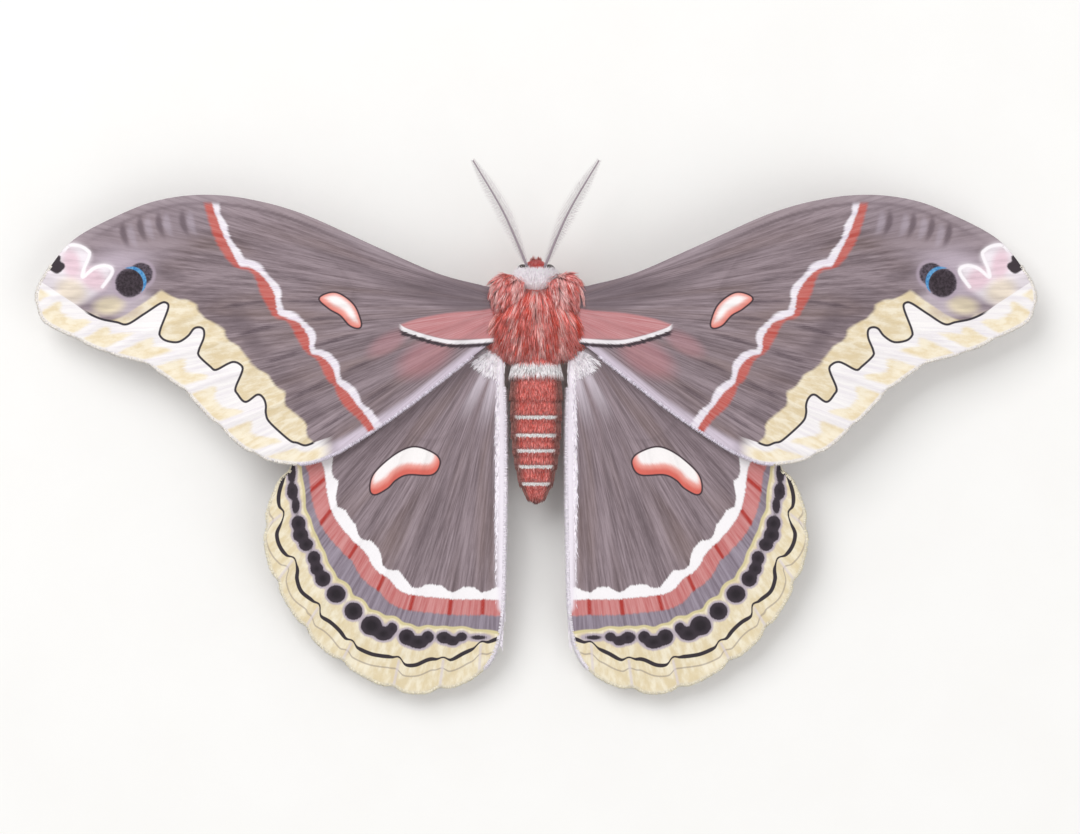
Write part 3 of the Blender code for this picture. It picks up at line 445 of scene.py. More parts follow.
# ---- shader building ----
class Paint:
    """Builds one node material. A name given as a value stands for the attribute of that name."""

    def __init__(self, name, roughness, sheen, specular):
        self.material = bpy.data.materials.new(name)
        self.material.use_nodes = True
        self.tree = self.material.node_tree
        self.shader = self.tree.nodes["Principled BSDF"].inputs
        self.shader["Roughness"].default_value = roughness
        self.shader["Specular IOR Level"].default_value = specular
        self.shader["Sheen Weight"].default_value = sheen
        self.shader["Sheen Roughness"].default_value = 0.5
        self.colour = None

    def put(self, socket, value):
        if isinstance(value, str):
            value = self.attribute(value)
        if isinstance(value, bpy.types.NodeSocket):
            self.tree.links.new(value, socket)
        elif socket.type == "RGBA":
            socket.default_value = (*linear(value), 1.0)
        else:
            socket.default_value = value

    def node(self, kind, inputs, output=0, **settings):
        """Adds a node with its settings and inputs, and returns one of its outputs."""
        made = self.tree.nodes.new("ShaderNode" + kind)
        for key, value in settings.items():
            setattr(made, key, value)
        for key, value in inputs.items():
            self.put(made.inputs[key], value)
        return made.outputs[output]

    def attribute(self, name, output="Fac"):
        return self.node("Attribute", {}, output, attribute_name=name)

    def place(self):
        return self.node("TexCoord", {}, "Object")

    def math(self, operation, first, *rest):
        """One operation on two values, or on each further value in turn."""
        for value in rest:
            first = self.node("Math", {0: first, 1: value}, operation=operation)
        return first

    def times(self, *values):
        return self.math("MULTIPLY", *values)

    def plus(self, *values):
        return self.math("ADD", *values)

    def scaled(self, vector, scale):
        return self.node("VectorMath", {0: vector, 1: scale}, operation="MULTIPLY")

    def noise(self, vector, scale, detail=3.0, roughness=0.6):
        inputs = {"Vector": vector, "Scale": scale, "Detail": detail, "Roughness": roughness}
        return self.node("TexNoise", inputs, "Fac")

    def streaked(self, stretch, detail, roughness=0.6):
        """Noise that is drawn out along the wing's veins."""
        flow = self.scaled(self.attribute("flow", "Vector"), (*stretch, 0.0))
        return self.noise(flow, 1.0, detail, roughness)

    def cells(self, vector, scale):
        return self.node("TexVoronoi", {"Vector": vector, "Scale": scale}, "Distance")

    def ramp(self, value, low, high, to_low=0.0, to_high=1.0):
        inputs = {"Value": value, "From Min": low, "From Max": high, "To Min": to_low, "To Max": to_high}
        return self.node("MapRange", inputs, "Result", interpolation_type="SMOOTHSTEP")

    def above(self, value, limit, soft):
        return self.ramp(value, limit - soft, limit + soft)

    def below(self, value, limit, soft):
        return self.ramp(value, limit - soft, limit + soft, 1.0, 0.0)

    def between(self, value, low, high, soft):
        return self.times(self.above(value, low, soft), self.below(value, high, soft))

    def ragged(self, value, amount):
        """A distance whose edge is broken up by the scales' streaks."""
        jitter = self.plus(self.math("SUBTRACT", self.streaks, 0.5), self.math("SUBTRACT", self.fine, 0.5))
        return self.plus(value, self.times(jitter, amount))

    def mix(self, amount, a, b):
        return self.node("Mix", {"Factor": amount, 6: a, 7: b}, 2, data_type="RGBA")

    def tones(self, pattern, low, high, dark, light):
        """A colour that wanders between two others with a pattern."""
        return self.mix(self.ramp(pattern, low, high), dark, light)

    def lay(self, amount, colour):
        """Lays a colour over what has been painted so far."""
        self.colour = self.mix(amount, self.colour, colour)

    def tinted(self, **inputs):
        """The vertex tint with another brightness or saturation."""
        tint = self.attribute("tint", "Color")
        return self.node("HueSaturation", {"Color": tint, **inputs}, "Color")

    def bump(self, height, strength, distance):
        inputs = {"Strength": strength, "Distance": distance, "Height": height}
        self.put(self.shader["Normal"], self.node("Bump", inputs, "Normal"))

    def finish(self, colour):
        self.put(self.shader["Base Color"], colour)
        return self.material


def wing_paint(name):
    """Scales in fine streaks that run out along the veins, with the soft paint over them."""
    paint = Paint(name, 0.78, 0.12, 0.2)
    paint.streaks = paint.streaked((0.10, 2.6), 4.0, 0.65)
    paint.fine = paint.streaked((0.5, 9.0), 2.0)
    broad = paint.streaked((0.05, 0.5), 3.0)
    tone = paint.plus(paint.times(paint.streaks, 0.6), paint.times(broad, 0.4),
                      paint.times(paint.math("SUBTRACT", paint.fine, 0.5), 0.25))
    paint.colour = paint.tones(tone, 0.3, 0.7, GREY_DARK, GREY_LIGHT)
    paint.lay(paint.ramp(paint.streaked((0.04, 0.25), 2.0, 0.5), 0.45, 0.75, 0.0, 0.35), (136, 114, 106))
    paint.lay(paint.ramp("vein", 0.05, 0.35, 0.16, 0.0), (96, 82, 86))
    amount = paint.times(paint.attribute("soft", "Alpha"), paint.ramp(paint.streaks, 0.25, 0.65, 0.72, 1.0))
    paint.lay(amount, paint.attribute("soft", "Color"))
    return paint


def finished_wing(paint):
    """Adds the comma-shaped bean, the paler underside and the relief of the scales."""
    inner = paint.ragged("bean_core", 0.3)
    pink = paint.mix(paint.above(inner, -0.3, 0.4), (250, 246, 246), (236, 160, 150))
    paint.lay(paint.below("bean", 0.0, 0.05), paint.mix(paint.above(inner, 0.4, 0.45), pink, (218, 108, 96)))
    paint.lay(paint.between("bean", -0.1, 0.15, 0.07), (66, 54, 60))
    dust = paint.noise(paint.place(), 1500.0)
    paint.lay(paint.times("under", paint.ramp(dust, 0.3, 0.7, 0.25, 0.6)), (178, 168, 172))
    scales = paint.cells(paint.scaled(paint.place(), (5200.0, 3600.0, 5200.0)), 1.0)
    grain = paint.noise(paint.place(), 900.0)
    paint.bump(paint.plus(paint.times(scales, 0.5), paint.plus(grain, paint.fine)), 0.35, 0.00012)
    paint.put(paint.shader["Roughness"], paint.ramp(grain, 0.25, 0.75, 0.66, 0.9))
    return paint.finish(paint.colour)


def forewing_material():
    paint = wing_paint("forewing_scales")
    streaks = paint.streaks
    band = paint.ragged("band", 0.3)
    cream = paint.ragged("cream", 0.3)
    spots = paint.streaked((0.4, 1.6), 3.0)

    near = paint.plus(paint.between(band, 1.6, 6.5, 1.2), paint.between(band, -5.5, -1.5, 1.2))
    stroke = paint.below(paint.ragged("vein", 0.8), 0.2, 0.35)
    stroke = paint.times(stroke, 0.75, paint.times(near, "rear_half"))
    paint.lay(stroke, (84, 70, 78))
    shade = paint.times(paint.between(cream, -3.4, -0.7, 0.7), paint.above("vein", 1.0, 0.6), 0.2)
    paint.lay(shade, (84, 72, 80))

    red_here = paint.times(paint.above(band, -0.1, 0.15), paint.below(paint.ragged("red", 0.5), 0.0, 0.3),
                           "off_front")
    paint.lay(red_here, paint.tones(streaks, 0.3, 0.7, (184, 78, 70), (202, 122, 116)))
    frayed = paint.ragged(band, 0.25)
    white_edge = paint.plus(frayed, paint.ramp("vein", 0.0, 1.8, 0.75, 1.15))
    white_here = paint.times(paint.above(white_edge, 0.0, 0.25), paint.below(frayed, 0.0, 0.2), "off_front")
    paint.lay(white_here, paint.tones(streaks, 0.3, 0.7, (222, 212, 226), (246, 242, 247)))

    scallop = paint.plus(cream, paint.ramp("vein", 0.2, 1.8, -0.5, 0.25))
    paint.lay(paint.times(paint.above(scallop, 0.0, 0.3), "outer"),
              paint.tones(spots, 0.35, 0.7, (224, 206, 170), (242, 232, 210)))
    outside = paint.times(paint.above("wavy", 0.0, 0.08), "past_bay")
    paint.lay(outside, paint.tones(streaks, 0.25, 0.7, (232, 226, 232), (250, 247, 246)))
    depth = paint.plus(paint.ragged("margin", 0.9), paint.ramp("vein", 1.0, 2.6, -0.6, 0.7))
    patch = paint.times(paint.below(depth, 3.1, 0.45), outside,
                        paint.above(paint.ragged("vein", 0.5), 0.75, 0.3),
                        paint.above("wavy", 0.95, 0.35), paint.above("margin", 0.35, 0.2))
    paint.lay(patch, paint.tones(spots, 0.3, 0.65, (232, 214, 178), (246, 236, 214)))
    paint.lay(paint.times(paint.between("wavy", -0.17, 0.17, 0.06), "wavy_here"), (58, 54, 60))
    paint.lay(paint.below(paint.ragged("zigzag", 0.15), 0.26, 0.14), (250, 246, 250))

    grain = paint.noise(paint.place(), 2600.0)
    paint.lay(paint.times(paint.between("eye", 0.0, 0.5, 0.25), 0.7), (176, 160, 176))
    for here, dark, light in (
        (paint.below(paint.ragged("eye", 0.3), 0.0, 0.18), (62, 54, 62), (96, 86, 98)),
        (paint.below("disc", -0.25, 0.3), (46, 38, 44), (70, 60, 68)),
        (paint.below("blue", -0.05, 0.08), BLUE, (104, 166, 212)),
    ):
        paint.lay(here, paint.tones(grain, 0.35, 0.65, dark, light))
    paint.lay(paint.below(paint.ragged("tip_spot", 0.2), 0.05, 0.14), (64, 56, 62))

    paint.lay(paint.below(paint.ragged("wedge", 0.4), 0.0, 0.2),
              paint.tones(streaks, 0.3, 0.7, (182, 112, 115), (206, 157, 160)))
    paint.lay(paint.times(paint.between("rim", -0.1, 0.52, 0.12), "rim_here"), WHITE)
    paint.lay(paint.times(paint.between(paint.ragged("rim", 0.9), 0.5, 1.05, 0.12), "rim_here"), (66, 56, 62))
    return finished_wing(paint)


def hindwing_material():
    paint = wing_paint("hindwing_scales")
    streaks = paint.streaks
    band = paint.ragged("band", 0.55)
    spots = paint.streaked((0.4, 1.4), 3.0)

    paint.lay(paint.above(band, 2.9, 0.3), paint.tones(streaks, 0.3, 0.7, (124, 112, 124), (162, 151, 165)))
    red = paint.tones(streaks, 0.3, 0.7, (192, 108, 107), (213, 150, 149))
    red = paint.mix(paint.below(paint.ragged("vein", 0.3), 0.3, 0.2), red, (176, 60, 54))
    paint.lay(paint.between(band, 0.5, 2.95, 0.2), red)
    white_edge = paint.plus(band, paint.ramp("vein", 0.2, 1.9, 0.55, 1.35))
    paint.lay(paint.times(paint.above(white_edge, 0.0, 0.16), paint.below(band, 0.55, 0.16)), (249, 246, 249))

    pale = paint.tones(spots, 0.35, 0.7, (226, 210, 174), (244, 235, 212))
    paint.lay(paint.above("fine_line", 0.0, 0.12), pale)
    paint.lay(paint.between("fine_line", -0.16, 0.2, 0.1), (216, 204, 158))
    cells = paint.ragged("cells", 0.22)
    for limit, soft, colour in (
        (0.3, 0.18, (188, 176, 186)), (0.0, 0.1, (60, 52, 60)), (-0.6, 0.4, (42, 36, 42)),
    ):
        paint.lay(paint.below(cells, limit, soft), colour)
    width = paint.ramp("vein", 0.2, 2.0, 0.13, 0.3)
    off_line = paint.math("SUBTRACT", paint.math("ABSOLUTE", "line", 0.0), width)
    paint.lay(paint.below(off_line, 0.0, 0.06), (56, 50, 56))
    paint.lay(paint.times(paint.between("line", 1.55, 1.78, 0.07), 0.55), (140, 126, 122))
    outside = paint.above("line", 0.3, 0.1)
    paint.lay(paint.times(paint.below("vein", 0.2, 0.12), outside, 0.7), (222, 212, 216))
    paint.lay(paint.times(paint.below("margin", 0.3, 0.2), outside, 0.7), (232, 224, 208))
    paint.lay(paint.below(paint.ragged("inner_edge", 0.7), 0.8, 0.55), (242, 235, 245))
    return finished_wing(paint)


def fur_material(name, root, tip, sheen, spread=0.2):
    """Hair with its own tint, darker at the root as painted shade where the hairs cover each other, lighter at
    the tip as painted light, with lighter and darker strands.
    """
    paint = Paint(name, 0.72, sheen, 0.25)
    lighter = paint.ramp("strand", 0.0, 1.0, -spread, spread)
    # Painted shade and light: each tuft runs from darker at its root to lighter at its tip.
    value = paint.plus(paint.ramp("along", 0.0, 0.9, root, tip), lighter)
    paint.bump(paint.noise(paint.scaled(paint.place(), (9000.0, 9000.0, 9000.0)), 1.0, 2.0), 0.2, 0.00003)
    return paint.finish(paint.tinted(Value=value, Saturation=paint.ramp("strand", 0.0, 1.0, 1.1, 0.85)))


def skin_material():
    """Dark mottled skin with the relief of lying hairs."""
    paint = Paint("skin", 0.7, 0.2, 0.25)
    mottled = paint.noise(paint.place(), 700.0, 4.0)
    hairs = paint.noise(paint.scaled(paint.place(), (4200.0, 900.0, 4200.0)), 1.0)
    paint.bump(hairs, 0.6, 0.0001)
    return paint.finish(paint.tinted(Value=paint.ramp(mottled, 0.3, 0.7, 0.55, 0.9)))


def eye_material():
    """Dark and glossy, with fine facets."""
    paint = Paint("compound_eye", 0.22, 0.0, 0.6)
    facets = paint.cells(paint.place(), 9000.0)
    paint.bump(paint.math("SUBTRACT", 1.0, facets), 0.5, 0.00004)
    return paint.finish(paint.mix(paint.noise(paint.place(), 900.0, 2.0), (26, 16, 16), (62, 38, 34)))


def claw_material():
    paint = Paint("claw", 0.35, 0.0, 0.5)
    return paint.finish(paint.mix(paint.noise(paint.place(), 2000.0), (40, 24, 20), (84, 50, 40)))


def floor_material():
    paint = Paint("floor", 0.9, 0.0, 0.1)
    return paint.finish(paint.mix(paint.noise(paint.place(), 60.0, 4.0), (246, 245, 243), (250, 250, 249)))


# ---- wings ----
def sheet_z(x, y):
    """Height of the arched sheet that lies between the two pairs of wings."""
    span = np.maximum(0.0, np.abs(x) - SHEET_ROOT_X) / SHEET_SPAN
    behind = np.maximum(0.0, -y) / SHEET_REAR
    ahead = np.maximum(0.0, y) / SHEET_FRONT
    arch = SHEET_RISE * np.sin(np.pi * np.minimum(1.0, 1.4 * span)) - SHEET_DROOP * span ** 1.6
    return SHEET_Z + arch - SHEET_REAR_DROP * behind ** 2 - SHEET_FRONT_DROP * ahead ** 2


def wing_outline(plan):
    """The margin as an even line, drawn in a little at each vein's end."""
    line = smooth_curve(plan["outline"], 0.06, closed=True)
    steps = travelled(line)
    count = int(steps[-1] / WING_GRID)
    line = places_on(line, steps, np.linspace(0, steps[-1], count, endpoint=False))
    ends = np.array([vein[-1] for vein in plan["veins"] if vein[-1][1] < 5])
    near = np.linalg.norm(line[:, None] - ends[None], axis=2).min(1)
    free = rise(np.abs(line[:, 0]), 9.0, 14.0)
    inwards = unit(line.mean(0) - line)
    return line + inwards * (plan["notch"] * np.exp(-(near / NOTCH_WIDTH) ** 2) * free)[:, None]


def vein_distance(plan, points):
    return np.min([line_distance(points, smooth_curve(vein, 0.4))[0] for vein in plan["veins"]], axis=0)


def vein_ridge(points, vein):
    """How far the veins stand out of the upper face; they thin out away from the body."""
    taper = 1 - 0.55 * rise(np.hypot(points[:, 0], points[:, 1]), 15, 70)
    return VEIN_RIDGE * taper * np.exp(-((vein / (VEIN_HALF_WIDTH * taper)) ** 2))


def over(below, mask, colour):
    """Lays a colour over soft paint: rows of red, green, blue and amount."""
    mask = np.clip(mask, 0, 1)[:, None]
    amount = below[:, 3:] * (1 - mask) + mask
    mixed = below[:, :3] * below[:, 3:] * (1 - mask) + np.array(linear(colour)) * mask
    return np.hstack([mixed / np.maximum(amount, 1e-6), amount])


def ovals(soft, points, rows):
    """Lays soft ovals over soft paint, each full at its middle and gone at its edge."""
    for amount, centre, radii, turn, colour in rows:
        a = math.radians(turn)
        rel = points - np.array(centre)
        u = (rel[:, 0] * math.cos(a) + rel[:, 1] * math.sin(a)) / radii[0]
        v = (-rel[:, 0] * math.sin(a) + rel[:, 1] * math.cos(a)) / radii[1]
        soft = over(soft, amount * (1 - rise(np.sqrt(u * u + v * v), 0.35, 1.0)), colour)
    return soft


def forewing_soft(p, front):
    """The forewing's soft paint, from its front edge to its rear."""
    x, y = p.T
    soft = np.zeros((len(p), 4))
    soft = over(soft, 0.55 * (1 - rise(front, 0.2, 2.4)) * rise(x, 12, 30), (178, 164, 172))
    strip = (1 - rise(np.abs(front - 1.3), 0.15, 0.4)) * rise(x, 20, 36) * (1 - rise(x, 62, 69))
    soft = ovals(over(soft, 0.55 * strip, (100, 86, 92)), p, SOFT_GROUND)
    for bar_x, bar_y in FRONT_BARS:
        bent = np.stack([x + 0.09 * (y - bar_y) ** 2, y], axis=1)
        soft = ovals(soft, bent, [
            (0.8, (bar_x, bar_y), (0.75, 2.6), -14, (100, 86, 94)),
            (0.45, (bar_x - 1.2, bar_y), (0.8, 2.4), -14, (184, 172, 186)),
        ])
    soft = ovals(soft, p, SOFT_ROUND_EYE)
    soft = over(soft, 1 - rise(signed_to_shape(p, TIP_LIGHT, 0.3), -0.5, 0.9), (244, 236, 243))
    soft = ovals(soft, p, SOFT_TIP_AND_BASE)
    rear, _ = line_distance(p, smooth_curve(FOREWING["outline"][24:18:-1], 0.4))
    wide = 0.55 + 0.06 * np.maximum(0, x - 20)
    return over(soft, 0.9 * (1 - rise(rear, wide, wide + 1.0)), (216, 204, 220))


def forewing_values(p, values):
    """Adds every painted distance of the forewing, and its soft paint."""
    x, y = p.T
    for name, drawn, step in (("band", BAND_LINE, 0.25), ("red", RED_EDGE, 0.25), ("cream", CREAM_LINE, 0.25),
                              ("wavy", WAVY_LINE, 0.15), ("rim", WEDGE_RIM, 0.2)):
        values[name] = signed_to_line(p, drawn, step)
    for name, drawn, step in (("tip_spot", TIP_SPOT, 0.15), ("wedge", WEDGE, 0.2), ("bean", BEAN, 0.15)):
        values[name] = signed_to_shape(p, drawn, step)
    values["zigzag"] = line_distance(p, smooth_curve(ZIGZAG, 0.15))[0]
    values["bean_core"] = signed_to_shape(p + np.array((0.1, -0.22)), BEAN, 0.15) + 0.4
    values["rim_here"] = 1 - rise(x, 19.9, 20.5)
    values["rear_half"] = 1 - rise(y + 0.2 * (x - 40), 3.0, 9.0)
    values["past_bay"] = rise(x, 30.0, 33.0)
    values["wavy_here"] = rise(x, 33.0, 33.3) * (1 - rise(x, 67.0, 68.2))
    values["outer"] = 1 - rise(x - 0.9 * y, 56.0, 62.0) * rise(y, -0.5, 2.0)

    disc_x, disc_y, disc_radius = EYE_SPOT[0]
    values["eye"] = np.min([np.hypot(x - cx, y - cy) - radius for cx, cy, radius in EYE_SPOT], axis=0)
    reach = np.hypot(x - disc_x, y - disc_y)
    turn = np.degrees(np.arctan2(y - disc_y, x - disc_x)) % 360
    arc_half = 0.34 * np.sin(np.pi * np.clip((turn - 66) / 156, 0, 1)) ** 0.6
    values["disc"] = reach - disc_radius
    values["blue"] = np.abs(reach - disc_radius - 0.1) - arc_half

    front = -signed_to_line(p, [(2.0, 3.6), *FOREWING["outline"][:10]], 0.4)
    values["off_front"] = rise(front, 0.9, 1.7)
    values["soft"] = forewing_soft(p, front)


def merged(gaps, blend):
    """The nearest of several distances, with the hollow between two near ones filled smoothly."""
    found = gaps[0]
    for gap in gaps[1:]:
        share = np.clip(0.5 + 0.5 * (gap - found) / blend, 0, 1)
        found = gap * (1 - share) + found * share - blend * share * (1 - share)
    return found


def hindwing_values(p, values):
    """Adds every painted distance of the hindwing, and its soft paint."""
    x, y = p.T
    values["band"] = signed_to_line(p, HIND_BAND, 0.25) - 0.85
    values["line"] = signed_to_line(p, HIND_LINE, 0.15) + 0.5 * (1 - rise(values["vein"], 0.0, 1.2))
    values["bean"] = signed_to_shape(p, HIND_BEAN, 0.15)
    values["bean_core"] = signed_to_shape(p + np.array((-0.15, -1.0)), HIND_BEAN, 0.15) + 0.35
    values["inner_edge"] = x - 4.9 + 8 * rise(-y, 43.0, 50.0)
    spots = [(np.hypot((x - cx) / a, (y - cy) / b) - 1) * min(a, b) for cx, cy, a, b in HIND_SPOTS]
    values["cells"] = merged(spots, 0.35)
    values["fine_line"] = np.maximum(signed_to_line(p, HIND_FINE, 0.25) - 0.25, 0.75 - merged(spots, 0.8))

    reach = np.hypot(x - 5.0, y + 3.0)
    aim = np.degrees(np.arctan2(x - 4.5, -(y + 2.0)))
    base = (1 - rise(reach, 2.0, 7.0)) * (1 - rise(aim, 30, 62))
    soft = over(np.zeros((len(p), 4)), 1.1 * base, (244, 238, 245))
    for ray in (14, 27):
        width = 0.18 + 0.09 * reach
        off = np.abs(np.radians(aim - ray)) * reach
        streak = 0.75 * (1 - rise(off, 0.3 * width, width)) * (1 - rise(reach, 5.0, 15.0))
        soft = over(soft, streak, (232, 222, 234))
    inner = 0.95 * (1 - rise(x, 5.0, 6.7)) * (1 - rise(-y, 42, 48))
    values["soft"] = over(soft, inner, (238, 230, 242))


def wing_surface(plan, add_painted):
    """The right wing's points in plan, its triangles and its painted values."""
    outline = wing_outline(plan)
    low, high = outline.min(0), outline.max(0)
    grid = []
    for k, y in enumerate(np.arange(low[1], high[1], WING_GRID * 0.866)):
        xs = np.arange(low[0] + (k % 2) * WING_GRID / 2, high[0], WING_GRID)
        grid.append(np.stack([xs, np.full(len(xs), y)], axis=1))
    grid = np.vstack(grid)
    grid = grid[inside(grid, outline)]
    grid = grid[line_distance(grid, outline, True)[0] > WING_GRID * 0.6]
    flat = [Vector(q) for q in np.vstack([outline, grid]).tolist()]
    count = len(outline)
    edges = [(k, (k + 1) % count) for k in range(count)]
    found = delaunay_2d_cdt(flat, edges, [list(range(count))], 1, 1e-6, False)
    points = np.array([tuple(v) for v in found[0]])
    faces = np.array([f for f in found[2] if len(f) == 3], np.int32)
    faces = faces[inside(points[faces].mean(1), outline)]
    a, b, c = (points[faces[:, k]] for k in range(3))
    turned = (b[:, 0] - a[:, 0]) * (c[:, 1] - a[:, 1]) < (b[:, 1] - a[:, 1]) * (c[:, 0] - a[:, 0])
    faces[turned] = faces[turned][:, ::-1]

    values = {"vein": vein_distance(plan, points), "margin": line_distance(points, outline, True)[0]}
    add_painted(points, values)
    rel = points - np.array(plan["fan"])
    turn = np.arctan2(rel[:, 1], rel[:, 0])
    values["flow"] = np.stack([np.hypot(rel[:, 0], rel[:, 1]), turn * FAN_WIDTH, np.zeros(len(points))], axis=1)
    return points, faces, values


def wing_piece(name, plan, surface, side, material, node):
    """One thin wing: upper and lower face with the veins raised on both, closed at the margin."""
    points, faces, values = surface
    x, y = points.T
    ridge = vein_ridge(points, values["vein"])
    pleat = -PLEAT * rise(values["vein"], 0.0, 2.2) * rise(values["margin"], 0.0, 2.0)
    middle = sheet_z(x, y) + plan["step"] + pleat
    half = MEMBRANE / 2 * (0.45 + 0.55 * rise(values["margin"], 0.0, 0.8))
    top = np.stack([x * side, y, middle + half + ridge], axis=1)
    bottom = np.stack([x * side, y, middle - half - 0.6 * ridge], axis=1)
    count = len(points)
    used = {edge: None for a, b, c in faces.tolist() for edge in ((a, b), (b, c), (c, a))}
    rim = [(a, b) for a, b in used if (b, a) not in used]
    walls = [(b, a, a + count) for a, b in rim] + [(b, a + count, b + count) for a, b in rim]
    everything = np.vstack([faces, faces[:, ::-1] + count, np.array(walls, np.int32)])
    piece = make_piece(name, np.vstack([top, bottom]), everything[:, ::side], material)
    for key, value in values.items():
        add_values(piece, key, np.concatenate([value, value]))
    add_values(piece, "under", np.repeat([0.0, 1.0], count))
    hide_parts(node)


# ---- skin ----
def abdomen_axis(y):
    """Height of the abdomen's middle."""
    start, end = ABDOMEN_ENDS
    share = np.clip((y - start) / (end - start), 0, 1)
    return ABDOMEN_Z[0] + (ABDOMEN_Z[1] - ABDOMEN_Z[0]) * share ** 2


def abdomen_radius(y):
    """The skin's radius: each segment swells to its hem."""
    y = np.asarray(y, float)
    hems = np.array((ABDOMEN_ENDS[0], *ABDOMEN_HEMS, ABDOMEN_ENDS[1]))
    smooth = np.interp(-y, -hems, (3.4, *ABDOMEN_RADII, 0.7))
    place = np.clip(np.searchsorted(-hems, -y) - 1, 0, len(hems) - 2)
    share = np.clip((hems[place] - y) / (hems[place] - hems[place + 1]), 0, 1)
    return smooth - ABDOMEN_COAT + 0.22 * (share ** 1.5 - 0.5)


def leg_lines(side):
    """The centre points and radii of each leg on one side."""
    found = []
    for points in LEGS.values():
        hip, knee, ankle, toe = (np.array(mirrored(p, side)) for p in points)
        heel = ankle + (toe - ankle) * 0.22
        heel[2] = toe[2]
        path = [hip, hip + (knee - hip) * 0.5, knee, knee + (ankle - knee) * 0.5, ankle]
        path += [heel + (toe - heel) * k / (TARSUS_RINGS - 1) for k in range(TARSUS_RINGS)]
        found.append((np.array(path), (*LEG_SKIN, *(TARSUS_SKIN * (TARSUS_RINGS // 2)))))
    return found


def body_cage():
    """The body as overlapping eggs and tubes in one mesh."""
    shape = bmesh.new()
    for egg in (THORAX, NECK, HEAD):
        egg_mesh(shape, *egg)
    for side in (-1, 1):
        egg_mesh(shape, mirrored(LOBE[0], side), LOBE[1])
        for path, radii in leg_lines(side):
            tube_mesh(shape, path, radii)
        tube_mesh(shape, [mirrored(p, side) for p in PALP], PALP_RADII)
    ys = np.linspace(-3.0, ABDOMEN_ENDS[1], 160)
    axis = [(0.0, y, float(abdomen_axis(y))) for y in ys]
    tube_mesh(shape, axis, [float(abdomen_radius(y)) for y in ys], 40)
    mesh = bpy.data.meshes.new("skin_cage")
    shape.to_mesh(mesh)
    shape.free()
    return mesh


def skin_piece(material):
    """One seamless skin for head, neck, thorax, abdomen and legs; returns its points and faces."""
    cage = bpy.data.objects.new("skin_cage", body_cage())
    bpy.context.scene.collection.objects.link(cage)
    remesh = cage.modifiers.new("Remesh", "REMESH")
    remesh.mode = "VOXEL"
    remesh.voxel_size = SKIN_VOXEL
    relax = cage.modifiers.new("Smooth", "SMOOTH")
    relax.iterations = 4
    bpy.context.view_layer.update()
    graph = bpy.context.evaluated_depsgraph_get()
    result = bpy.data.meshes.new_from_object(cage.evaluated_get(graph))
    points = np.array([tuple(vertex.co) for vertex in result.vertices])
    points[:, 2] = np.maximum(points[:, 2], 0.05)
    faces = [tuple(p.vertices) for p in result.polygons]
    bpy.data.objects.remove(cage, do_unlink=True)
    bpy.data.meshes.remove(result)
    piece = make_piece("moth_skin", points, faces, material)
    add_tint(piece, markings(points))
    nodes = ["thorax", "collar", "head", "abdomen"]
    nodes += [f"leg_{n}_{s}_{p}" for n in LEGS for s in ("left", "right") for p in ("femur", "tibia", "tarsus")]
    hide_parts(*nodes)
    return points, faces


def egg_gap(points, centre, radii):
    """Distance to an egg, negative inside it; exact only near its surface."""
    rel = (points - np.array(centre)) / np.array(radii)
    return (np.linalg.norm(rel, axis=1) - 1) * min(radii)


def regions(points):
    """Which part of the body each point of the skin is on, and a leg's direction there."""
    gaps = [egg_gap(points, *egg) for egg in (THORAX, LOBE, NECK, HEAD)]
    gaps[ON_LOBE] = np.minimum(gaps[ON_LOBE], egg_gap(points * np.array([-1, 1, 1]), *LOBE))
    body = np.hypot(points[:, 0], points[:, 2] - abdomen_axis(points[:, 1])) - abdomen_radius(points[:, 1])
    gaps.append(body + 5 * rise(points[:, 1], -5.5, -3.5) + 10 * rise(-points[:, 1], 27.6, 30.0))
    legs = [np.full(len(points), 1e3) for _ in range(3)]
    along = np.zeros((len(points), 3))
    best = np.full(len(points), 1e3)
    for path, radii in leg_lines(-1) + leg_lines(1):
        for k in range(len(path) - 1):
            span = path[k + 1] - path[k]
            t = np.clip(((points - path[k]) @ span) / (span @ span), 0, 1)
            gap = np.linalg.norm(points - path[k] - t[:, None] * span, axis=1) - radii[k]
            part = min(k // 2, 2)
            legs[part] = np.minimum(legs[part], gap)
            closer = gap < best
            best = np.where(closer, gap, best)
            along[closer] = span / np.linalg.norm(span)
    return np.argmin(gaps + legs, axis=0), along


def markings(points):
    """The body's colours: red thorax, white collar, banded red-brown abdomen with painted shade down its sides,
    red-brown legs.
    """
    part, _ = regions(points)
    x, y, z = points.T
    middle = abdomen_axis(y).mean()
    abdomen = (part == ON_ABDOMEN).astype(float)
    belly = rise(-z, -middle + 0.8, -middle + 2.4)
    aside = np.abs(x) / np.maximum(abdomen_radius(y), 0.5)
    across = 1 - rise(aside, 0.72, 0.86)
    layers = [
        (part == ON_HEAD, (204, 62, 56)),
        ((part == ON_HEAD) * rise(-z, -7.6, -6.9), (190, 120, 112)),
        (part == ON_NECK, (240, 232, 236)),
        (abdomen, (224, 112, 104)),
        # Painted shade: the abdomen is darkened towards brown down both sides, as a round body turned from the
        # light.
        (abdomen * rise(aside, 0.58, 0.9), (152, 98, 91)),
        (abdomen * belly, (190, 120, 108)),
    ]
    for hem in RINGED_HEMS:
        layers.append((abdomen * across * (1 - rise(np.abs(y - hem - 0.1), 0.2, 0.3)), (252, 246, 246)))
        layers.append((0.7 * abdomen * (1 - rise(np.abs(y - hem - 0.65), 0.1, 0.35)), (150, 92, 92)))
    layers += [
        (abdomen * rise(-y, 6.0, 6.5) * (1 - rise(-y, 7.7, 8.5)) * (1 - belly), (247, 242, 245)),
        (abdomen * rise(-y, 26.0, 27.4), (120, 60, 52)),
        (part == ON_FEMUR, (170, 72, 64)),
        (part == ON_TIBIA, (150, 70, 62)),
        (part == ON_TARSUS, (112, 66, 58)),
    ]
    colour = np.tile(np.array(linear((204, 96, 88))), (len(points), 1))
    for mask, tone in layers:
        mask = np.clip(mask, 0, 1)[:, None]
        colour = colour * (1 - mask) + np.array(linear(tone)) * mask
    return colour


